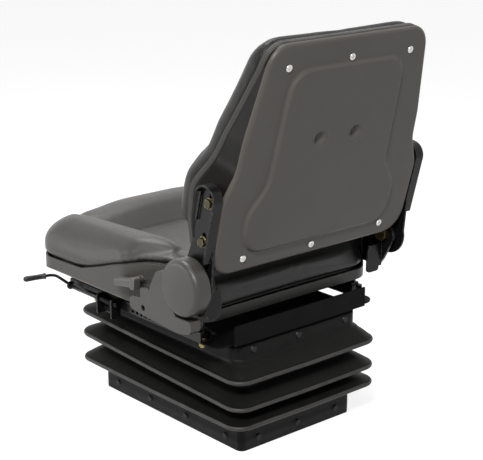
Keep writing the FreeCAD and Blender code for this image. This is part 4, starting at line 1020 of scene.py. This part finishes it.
@dataclass
class SeatCushion:
    """Seat cushion with side bolsters, a front roll and a sunk middle."""

    wardrobe: Wardrobe
    side: float = 237.0
    rear_side: float = 198.5
    front: float = -252.5
    rear: float = 172.0
    corner: float = 60.0
    rear_corner: float = 46.0
    shoulder: float = 45.0
    shoulder_h: float = 46.0
    nose: float = 1.35
    seat: float = 305.0
    rim_y: tuple[float, ...] = (-260.0, -100.0, -2.0, 58.0, 122.0, 144.0, 156.0, 190.0)
    rim_z: tuple[float, ...] = (266.0, 272.0, 301.0, 316.0, 319.0, 319.0, 252.0, 252.0)

    def plan(self, inset: float, count: int, nose: float = 1.0) -> Array:
        """The cushion's outline (x, y), moved in all round.

        Args:
            inset: How far to move in.
            count: Samples.
            nose: How many times that the front moves in.

        Returns:
            Array of shape (count, 2).
        """
        s, r = self.side - inset, self.rear_side - inset
        half = [(s, self.front + inset * nose, self.corner - inset * 0.6), (s, 20, 60), (r, 106, 60),
                (r, self.rear - inset, self.rear_corner - inset * 0.6)]
        return mirrored_outline(half, count)

    def rim(self, y: Array) -> Array:
        """Height of the line where the cushion leaves the pan, averaged over +-8 mm.

        Args:
            y: Depths.

        Returns:
            Heights.
        """
        shifts = np.linspace(-8.0, 8.0, 7)
        return np.mean([np.interp(y + d, self.rim_y, self.rim_z) for d in shifts], axis=0)

    @staticmethod
    def step(at: Array, hump: tuple[float, float], bowl: tuple[float, float, float]) -> Array:
        """Share of a step's height: 1 on its flat top, a hump, a slope and a bowl down to 0.

        Args:
            at: Positions across the step.
            hump: Position and radius of the upper corner.
            bowl: Position, depth and radius of the lower corner.

        Returns:
            Shares from 1 to 0, read off the rounded outline's upper line.
        """
        depth = bowl[1]
        line = rounded_outline([(-500, 0, 1), (hump[0], 0, hump[1]), (bowl[0], -depth, bowl[2]), (500, -depth, 1),
                                (500, -300, 1), (-500, -300, 1)], 6000)
        line = line[(line[:, 1] > -depth - 1e-6) & (np.abs(line[:, 0]) < 498.0)]
        line = line[np.argsort(line[:, 0])]
        return 1.0 + np.interp(at, line[:, 0], line[:, 1]) / depth

    def top(self, x: Array, y: Array) -> Array:
        """Height of the upper side before its edge is rounded.

        A roll across the front and a bolster on each side stand on a flat seat, each with a rounded hump, a slope
        and a bowl. The higher of the two holds, and a crease is pressed in where they meet.

        Args:
            x: Across.
            y: Depth.

        Returns:
            Heights.
        """
        ax = np.abs(x)
        taper = np.clip((y - 20.0) / 86.0, 0.0, 1.0)
        tail = np.clip((y - 24.0) / 82.0, 0.0, 1.0)
        crest = 333.0 + 20.0 * (np.clip(y, -260.0, 150.0) + 260.0) / 410.0 - 50.0 * (1.0 - np.sqrt(1.0 - tail * tail))
        nest = 1.0 - eased(y, 78.0, 98.0) * (1.0 - eased(ax, 178.0, 190.0))
        across = (240.0 - 35.0 * taper - ax) * 80.0 / (80.0 - 28.0 * taper)
        side = np.maximum(crest - self.seat, 0.0) * self.step(across, (80.0, 48.0), (106.0, 46.0, 24.0)) * nest
        roll = (340.0 - 8.0 * eased(ax, 45.0, 176.0) - self.seat) * self.step(y, (-166.0, 40.0), (-126.0, 39.0, 20.0))
        roll = roll * (1.0 - eased(ax, 176.0, 204.0))
        crease = 4.0 * np.exp(-((side - roll) / 4.0) ** 2) * np.minimum(side, roll) / 40.0
        return self.seat + np.maximum(side, roll) - crease

    def build(self) -> bpy.types.Object:
        """Rings from the hidden underside over the shoulder to the middle of the top.

        Returns:
            The cushion.
        """
        count = 360
        centre = np.array([0.0, -40.0])
        rows = []

        def ring(line: Array, z: Array) -> None:
            """Add one ring of points."""
            rows.append(np.column_stack([line, z])[None])

        under = self.plan(14.0, count)
        for share in (0.0, 0.6, 1.0):
            ring(centre + share * (under - centre), np.full(count, 246.0))
        for inset, lift in ((10.0, -6.0), (8.5, 0.5), (6.5, 2.4), (3.2, 4.6), (1.0, 8.0), (0.2, 12.0)):
            line = self.plan(inset, count)
            ring(line, self.rim(line[:, 1]) + lift)
        for phi in np.linspace(0.0, np.pi / 2.0, 20):
            line = self.plan(self.shoulder * (1.0 - math.cos(phi)), count, self.nose)
            low = self.rim(line[:, 1]) + 12.0 + 3.0 * math.sin(phi)
            high = self.top(line[:, 0], line[:, 1])
            ring(line, np.maximum(low, high - self.shoulder_h * (1.0 - math.sin(phi))))
        last = self.plan(self.shoulder, count, self.nose)
        share = np.linspace(1.0, 0.0, 84)[1:, None, None]
        at = centre + share * (last - centre)[None]
        rows.append(np.concatenate([at, self.top(at[..., 0], at[..., 1])[..., None]], axis=2))
        obj = grid_mesh("seat_cushion_cover", np.concatenate(rows))
        puff(obj, voxel=5.0, pressure=2.5, cap=3.0)
        self.tuck(obj)
        self.seam(obj)
        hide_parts("seat_cushion")
        self.wardrobe.dress(obj, "seat_vinyl")
        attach(obj, "seat")
        return obj

    def tuck(self, obj: bpy.types.Object) -> None:
        """Draw the side in along the pan's rim, as the cover is pulled round the board there.

        Args:
            obj: The cushion.
        """
        points, normal = points_of(obj), normals_of(obj)
        level = np.exp(-((points[:, 2] - self.rim(points[:, 1]) - 1.0) / 3.0) ** 2)
        upright = eased(np.hypot(normal[:, 0], normal[:, 1]), 0.4, 0.8)
        points[:, :2] -= normal[:, :2] * (5.0 * level * upright)[:, None]
        put_points(obj, points)

    def seam(self, obj: bpy.types.Object) -> None:
        """Press the sewn channel round the sunk middle panel.

        Args:
            obj: The cushion.
        """
        points = points_of(obj)
        line = mirrored_outline([(137, -124, 22), (137, 66, 26), (186, 93, 16), (186, 300, 0.1)], 400)
        gap = distance_to_line(points[:, :2], line)
        on_top = eased(points[:, 2], 285.0, 300.0)
        press = 3.5 * np.exp(-(gap / 2.8) ** 2) + 1.5 * np.exp(-(gap / 9.0) ** 2)
        points[:, 2] -= press * on_top
        put_points(obj, points)


@dataclass
class Boot:
    """Rubber boot with three pleats, a top and a bottom collar."""

    wardrobe: Wardrobe
    wall: float = 2.4
    valley: tuple[float, float, float] = (127.8, 190.2, 16.0)
    ridge: tuple[float, float, float] = (163.8, 223.8, 30.0)
    nose_r: float = 4.4
    ridges: tuple[tuple[float, float], ...] = ((58.0, 0.0), (98.5, -2.2), (143.0, -1.6))
    valleys: tuple[tuple[float, float], ...] = ((41.0, 0.0), (78.25, -1.65), (120.75, -1.2), (161.0, 0.0))
    collar_foot: float = 0.35

    def profile(self) -> Array:
        """The pleats' section from the bottom up.

        Each pleat is a flank from its lower valley, a bullnose of radius r (outwards w - r + r cos p, upwards
        z + r sin p with p from -1.3 to 1.3), and a flank to its upper valley. Half width, half length and corner
        radius follow one share of the way from valley to ridge; the tip angle goes evenly from valley to ridge.

        Returns:
            Array of rows (half width, half length, corner radius, height, tip in degrees).
        """
        low, high = np.array(self.valley), np.array(self.ridge)
        reach = high[0] - low[0]
        rows = [(127.6, 190.0, 12.0, 0.0, 0.0), (127.8, 190.2, 12.0, 20.0, 0.0), (127.8, 190.2, 12.5, 38.6, 0.0)]
        turn = np.linspace(-1.3, 1.3, 15)
        for k, (z, tip) in enumerate(self.ridges):
            (z0, tip0), (z1, tip1) = self.valleys[k], self.valleys[k + 1]
            start, end = 0.0, self.collar_foot if k == len(self.ridges) - 1 else 0.0
            out = 1.0 - self.nose_r * (1.0 - np.cos(turn)) / reach
            nose_z = z + self.nose_r * np.sin(turn)
            rise = np.linspace(0.0, 1.0, 10)[1:-1]
            soft = 0.06 * np.sin(np.pi * rise)
            under = np.stack([start + (out[0] - start) * rise, z0 + 1.6 + (nose_z[0] - z0 - 1.6) * (rise - soft),
                              tip0 + (tip - tip0) * rise], axis=1)
            bull = np.stack([out, nose_z, np.full(len(turn), tip)], axis=1)
            over = np.stack([end + (out[-1] - end) * rise[::-1],
                             z1 - 1.6 - (z1 - 1.6 - nose_z[-1]) * (rise - soft)[::-1],
                             tip1 + (tip - tip1) * rise[::-1]], axis=1)
            foot = np.array([(end, z1, tip1)])
            for share, height, angle in np.concatenate([under, bull, over, foot]):
                rows.append((*(low + (high - low) * share), height, angle))
        rows += [(140.2, 195.2, 26.0, 163.0, 0.0), (140.0, 195.0, 26.0, 166.0, 0.0), (140.0, 195.0, 26.0, 178.0, 0.0),
                 (140.0, 195.0, 26.0, 187.9, 0.0)]
        return np.array(rows)

    def on_ridge(self, at: Array) -> Array:
        """Whether points lie on a bullnose: less than 2 mm inside the ridges' rounded rectangle.

        Args:
            at: Points of shape (n, 3).

        Returns:
            Boolean array.
        """
        w, n, c = self.ridge
        over = np.abs(at[:, :2]) - np.array([w - c, n - c])
        gap = np.hypot(*np.maximum(over, 0.0).T) + np.minimum(over.max(axis=1), 0.0) - c
        return (gap > -2.0) & (at[:, 2] < 160.0)

    def build(self) -> bpy.types.Object:
        """Rounded rectangles from the bottom up, each tipped about X, with a wall behind them.

        A sample of a rounded rectangle is a (w - c) + c cos t across and b (l - c) + c sin t along, where a and b
        go from -1 to 1 along the sides while t stands still, and stand still in the corners while t turns. The top
        ridge dips by 8 exp(-(x / 34)^2) under the preload knob in front.

        Returns:
            The boot.
        """
        w, n, c, z, tip = self.profile().T
        arc, side = 18, 26
        t = np.linspace(0.0, np.pi / 2.0, arc)
        parts_a, parts_b, parts_t = [], [], []
        signs = [(1, -1), (1, 1), (-1, 1), (-1, -1)]
        for k, (sx, sy) in enumerate(signs):
            nx, ny = signs[(k + 1) % 4]
            run = np.linspace(0.0, 1.0, side + 2)[1:-1]
            parts_a += [np.full(arc, sx), sx + (nx - sx) * run]
            parts_b += [np.full(arc, sy), sy + (ny - sy) * run]
            parts_t += [t - np.pi / 2.0 + k * np.pi / 2.0, np.full(side, k * np.pi / 2.0)]
        a, b, t = (np.concatenate(p)[None, :] for p in (parts_a, parts_b, parts_t))
        x = a * (w - c)[:, None] + c[:, None] * np.cos(t)
        y = b * (n - c)[:, None] + c[:, None] * np.sin(t)
        angle = np.radians(tip)[:, None]
        tilted_y = y * np.cos(angle)
        tilted_z = z[:, None] + y * np.sin(angle)
        droop = eased(w, 150.0, 160.0)[:, None]
        middle = (1.0 - np.abs(a)) * (np.abs(b) > 0.999) + (1.0 - np.abs(b)) * (np.abs(a) > 0.999)
        knob = np.exp(-(x / 34.0) ** 2) * (tilted_y < -150.0) * (z > 128.0)[:, None]
        tilted_z = tilted_z - 1.2 * droop * middle - 8.0 * droop * knob
        spindle = (np.abs(x) < 9.0) & (tilted_y < -180.0) & (tilted_z > 181.0)
        obj = grid_mesh("pleated_boot", np.stack([x, tilted_y, tilted_z], axis=2), cut=spindle)
        thicken(obj, self.wall)
        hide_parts("boot")
        self.wardrobe.dress(obj, "boot_rubber")
        # The bullnoses get a lighter finish: painted highlight.
        self.wardrobe.second(obj, "boot_ridge_painted_highlight", self.on_ridge(centres_of(obj)))
        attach(obj, "base")
        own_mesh(obj)
        return obj


@dataclass
class CoilSprings:
    """Two compression springs with closed end coils."""

    wardrobe: Wardrobe
    x: float = 50.0
    y: float = -55.0
    radius: float = 25.0
    wire: float = 3.5
    low: float = 3.0
    high: float = 166.0
    turns: float = 7.0

    def build(self) -> bpy.types.Object:
        """Helix whose rise per turn eases to one wire at both ends.

        Returns:
            Both springs as one piece.
        """
        share = np.linspace(0.0, 1.0, 460)
        bottom, top = self.low + self.wire, self.high - self.wire
        dead = 2.0 * self.wire
        z = bottom + np.interp(share * self.turns, (0.0, 1.0, self.turns - 1.0, self.turns),
                               (0.0, dead, top - bottom - dead, top - bottom))
        kernel = np.ones(25) / 25.0
        z = np.convolve(np.pad(z, 12, mode="edge"), kernel, mode="valid")
        angle = share * self.turns * 2.0 * np.pi
        made = []
        for side in (-1.0, 1.0):
            x = side * (self.x + self.radius * np.cos(angle))
            path = np.stack([x, self.y + self.radius * np.sin(angle), z], axis=1)
            made.append(tube("coil", path, self.wire - 0.05, 14))
        obj = joined("coil_spring_pair", made)
        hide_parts("coil_springs")
        self.wardrobe.dress(obj, "spring_steel")
        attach(obj, "base")
        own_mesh(obj)
        return obj


@dataclass
class SlideLever:
    """Slide lever: a tube in its bracket, a collar, a thin bent rod with its sleeve, and the latch finger."""

    wardrobe: Wardrobe
    x: float = 197.0
    z: float = 210.0
    rear: float = -52.0
    tube_front: float = -191.0
    tube_r: float = 4.95
    rod_r: float = 2.7
    bend: tuple[float, float, float] = (197.0, -241.0, 217.0)
    tip: tuple[float, float, float] = (252.0, -253.0, 217.0)
    turn: float = 12.0
    grip_l: float = 39.0
    finger: tuple[tuple[float, float], ...] = ((185.4, 200.6), (189.4, 200.6), (201.0, 208.0), (197.0, 213.0),
                                               (185.4, 203.6))
    finger_y: tuple[float, float] = (-89.0, -67.0)

    def lever(self) -> bpy.types.Object:
        """Tube, collar, rod and finger as one welded piece.

        Returns:
            The lever.
        """
        tube_path = np.array([(self.x, y, self.z) for y in (self.rear, -120.0, self.tube_front)])
        collar = np.array([(self.x, self.tube_front + 2.6, self.z), (self.x, self.tube_front - 0.2, self.z)])
        parts = [tube("tube", tube_path, self.tube_r, 28), tube("collar", collar, 7.4, 32),
                 tube("rod", self.rod_path(), self.rod_r, 20), self.bar()]
        obj = joined("slide_lever_rod", parts)
        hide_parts("slide_lever")
        self.wardrobe.dress(obj, "frame_paint")
        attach(obj, "slide_lever")
        return obj

    def aside(self) -> Array:
        """Unit direction of the rod from its bend to its tip."""
        run = np.array(self.tip) - np.array(self.bend)
        return run / np.linalg.norm(run)

    def rod_path(self) -> Array:
        """The rod's middle line: straight, a quadratic curve round the bend, straight to the tip.

        Returns:
            Points of shape (n, 3).
        """
        start = np.array([self.x, self.tube_front + 1.0, self.z])
        bend, tip = np.array(self.bend), np.array(self.tip)
        back = (start - bend) / np.linalg.norm(start - bend)
        t = np.linspace(0.0, 1.0, 14)[:, None]
        a, b = bend + back * self.turn, bend + self.aside() * self.turn
        curve = a * (1.0 - t) ** 2 + 2.0 * bend * t * (1.0 - t) + b * t ** 2
        return np.vstack([start[None], curve, tip[None]])

    def bar(self) -> bpy.types.Object:
        """The latch finger: its rounded side outline carried along y, the ends drawn in to close it.

        Returns:
            The finger.
        """
        line = rounded_outline([(a, b, 0.8) for a, b in self.finger], 72)
        middle = line.mean(axis=0)
        y0, y1 = self.finger_y
        rows = []
        for y, share in ((y0, 0.0), (y0, 0.93), (y0 + 0.4, 1.0), ((y0 + y1) / 2.0, 1.0), (y1 - 0.4, 1.0), (y1, 0.93),
                         (y1, 0.0)):
            at = middle + (line - middle) * share
            rows.append(np.column_stack([at[:, 0], np.full(len(at), y), at[:, 1]])[None])
        return grid_mesh("finger", np.concatenate(rows))

    def grip(self) -> bpy.types.Object:
        """Sleeve on the rod's end: a revolved outline with a lip, a slight waist and a rounded end.

        Returns:
            The grip.
        """
        aside = self.aside()
        side = np.cross(aside, (0.0, 0.0, 1.0))
        lift = np.cross(side, aside)
        along = np.array([0.0, 0.0, 0.6, 2.6, 3.4, 12.0, 24.0, 34.0, 37.0, 39.5, 41.0, 41.6, 41.6])
        radius = np.array([2.7, 5.0, 5.6, 5.6, 5.0, 4.7, 4.8, 5.2, 5.0, 4.2, 2.8, 1.0, 0.0])
        angle = np.linspace(0.0, 2.0 * np.pi, 40, endpoint=False)
        ring = side * np.cos(angle)[:, None] + lift * np.sin(angle)[:, None]
        centre = np.array(self.tip) - aside * self.grip_l + aside * along[:, None]
        grid = centre[:, None, :] + radius[:, None, None] * ring[None]
        obj = grid_mesh("slide_lever_sleeve", grid)
        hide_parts("slide_lever_grip")
        self.wardrobe.dress(obj, "grip_plastic")
        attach(obj, "slide_lever")
        return obj


@dataclass
class HingeCover:
    """Domed round cover of the left hinge."""

    wardrobe: Wardrobe
    y: float = 187.0
    z: float = 313.0
    radius: float = 46.0
    inner_x: float = 225.0
    outer_x: float = 255.0
    edge: float = 9.0

    def build(self) -> bpy.types.Object:
        """Revolved profile: flat inside, straight wall, wide rounded edge and slightly domed face, notched below.

        Returns:
            The cover.
        """
        quarter = np.linspace(0.0, np.pi / 2.0, 14)
        dome = np.linspace(1.0, 0.0, 16)[1:]
        face_r = self.radius - self.edge
        r = np.concatenate([[0.0, 0.5, 0.97, 1.0, 1.0], 1.0 - (self.edge / self.radius) * (1.0 - np.cos(quarter)),
                            dome * face_r / self.radius]) * self.radius
        face_x = self.outer_x - 1.6
        x = np.concatenate([self.inner_x + np.array([14.0, 14.0, 0.0, 0.6, 4.0]),
                            face_x - self.edge + self.edge * np.sin(quarter), face_x + 1.6 * (1.0 - dome ** 2)])
        turn = np.linspace(0.0, 2.0 * np.pi, 220, endpoint=False)
        bottom = np.abs((turn - 1.5 * np.pi + np.pi) % (2.0 * np.pi) - np.pi) * self.radius
        below = 1.0 - eased(bottom, 6.6, 7.6)
        inside = 1.0 - eased(x, self.outer_x - 9.0, self.outer_x - 8.0)
        rr = r[:, None] - 3.0 * below[None, :] * inside[:, None] * (r[:, None] > self.radius * 0.9)
        grid = [np.repeat(x[:, None], len(turn), axis=1), self.y + rr * np.cos(turn), self.z + rr * np.sin(turn)]
        obj = grid_mesh("hinge_cover", np.stack(grid, axis=2))
        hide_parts("round_cover")
        self.wardrobe.dress(obj, "cover_plastic")
        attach(obj, "seat")
        return obj


@dataclass(frozen=True)
class Lamp:
    """One soft studio lamp."""

    name: str
    at: tuple[float, float, float]
    size: float
    power: float

    def build(self) -> None:
        """Add the lamp, turned to the seat's middle."""
        data = bpy.data.lights.new(self.name, "AREA")
        data.energy = self.power
        data.shape = "DISK"
        data.size = self.size
        obj = linked(self.name, data)
        obj.location = self.at
        aim = Vector((0.0, 0.0, 0.32)) - Vector(self.at)
        obj.rotation_mode = "QUATERNION"
        obj.rotation_quaternion = aim.to_track_quat("-Z", "Y")


@dataclass
class Studio:
    """Floor, world, lamps and the photograph's camera."""

    camera_at: tuple[float, float, float] = (1.4932, 1.7548, 1.0042)
    right: tuple[float, float, float] = (-0.7532, 0.6578, 0.0)
    up: tuple[float, float, float] = (-0.1883, -0.2156, 0.9582)
    back: tuple[float, float, float] = (0.6303, 0.7217, 0.2862)
    focal_px: float = 1379.17
    image_w: float = 483.0
    sensor_w: float = 36.0
    floor_colour: tuple[float, float, float] = (0.30, 0.30, 0.30)
    floor_glow: float = 0.86
    world_light: float = 0.13
    lamps: tuple[Lamp, ...] = (
        Lamp("key", (2.0, 1.7, 2.5), 0.6, 92.0),
        Lamp("overhead", (-0.2, -0.9, 2.6), 1.0, 42.0),
        Lamp("front_left", (2.3, -1.9, 0.5), 0.8, 20.0),
    )

    def build(self) -> None:
        """Make camera, floor, world and lamps."""
        self.camera()
        self.floor()
        self.world()
        for lamp in self.lamps:
            lamp.build()
        bpy.context.scene.view_settings.view_transform = "Standard"

    def camera(self) -> None:
        """Camera at the photograph's angle."""
        data = bpy.data.cameras.new("photo_camera")
        data.sensor_width = self.sensor_w
        data.lens = self.focal_px / self.image_w * self.sensor_w
        data.clip_end = 50.0
        obj = linked("photo_camera", data)
        turn = Matrix((self.right, self.up, self.back)).transposed()
        obj.matrix_world = Matrix.Translation(self.camera_at) @ turn.to_4x4()
        bpy.context.scene.camera = obj

    def floor(self) -> None:
        """Pale floor that stays white to the camera apart from the object's soft shadow."""
        size = 12.0
        mesh = bpy.data.meshes.new("floor")
        mesh.from_pydata([(-size, -size, 0), (size, -size, 0), (size, size, 0), (-size, size, 0)], [], [(0, 1, 2, 3)])
        obj = linked("floor", mesh)
        material = bpy.data.materials.new("floor_white")
        material.use_nodes = True
        nodes = Nodes(material.node_tree)
        glow = nodes.maths(Maths.MULTIPLY, self.seen(nodes), self.floor_glow)
        shader = material.node_tree.nodes["Principled BSDF"]
        for name, value in (("Base Color", (*self.floor_colour, 1.0)), ("Roughness", 0.9), ("Specular IOR Level", 0.1),
                            ("Emission Color", (1.0, 1.0, 1.0, 1.0)), ("Emission Strength", glow)):
            nodes.feed(shader.inputs[name], value)
        mesh.materials.append(material)

    @staticmethod
    def seen(nodes: Nodes) -> bpy.types.NodeSocket:
        """Mask of the rays that show the background: from the camera, reflected, and through glass.

        Args:
            nodes: Nodes of the floor or the world.

        Returns:
            1 for those rays, 0 for the light itself.
        """
        rays = nodes.add("LightPath").outputs
        mask = nodes.maths(Maths.MAXIMUM, rays["Is Camera Ray"], rays["Is Glossy Ray"])
        return nodes.maths(Maths.MAXIMUM, mask, rays["Is Transmission Ray"])

    def world(self) -> None:
        """White world for the camera and for reflections, a softer grey one for the light itself."""
        world = bpy.data.worlds.new("studio")
        bpy.context.scene.world = world
        world.use_nodes = True
        nodes = Nodes(world.node_tree)
        level = nodes.add("MapRange", {"Value": self.seen(nodes), "To Min": self.world_light, "To Max": 1.0})
        sky = world.node_tree.nodes["Background"]
        nodes.feed(sky.inputs["Color"], (1.0, 1.0, 1.0, 1.0))
        nodes.feed(sky.inputs["Strength"], level.outputs["Result"])


def corners(box: tuple[Vector, Vector]) -> list[list[float]]:
    """A box as plain lists.

    Args:
        box: Lowest and highest corner.

    Returns:
        Two lists of three numbers.
    """
    return [[float(c) for c in corner] for corner in box]


def main() -> None:
    """Load the frame, build every piece in order, and dress the CAD nodes."""
    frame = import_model()
    Studio().build()
    build_effects()
    wardrobe = Wardrobe()
    backrest, lever = Backrest(wardrobe), SlideLever(wardrobe)
    builders = [
        ("back plate", backrest.plate),
        ("edging", backrest.edging),
        ("back cushion", backrest.cushion),
        ("seat cushion", SeatCushion(wardrobe).build),
        ("boot", Boot(wardrobe).build),
        ("coil springs", CoilSprings(wardrobe).build),
        ("slide lever", lever.lever),
        ("lever grip", lever.grip),
        ("hinge cover", HingeCover(wardrobe).build),
    ]
    for label, builder in builders:
        piece = builder()
        LOG.info("%s: %d vertices", label, len(piece.data.vertices))
    wardrobe.dress_nodes(frame)
    LOG.info("sizes kept")


if __name__ == "__main__":
    logging.basicConfig(level=logging.INFO)
    main()
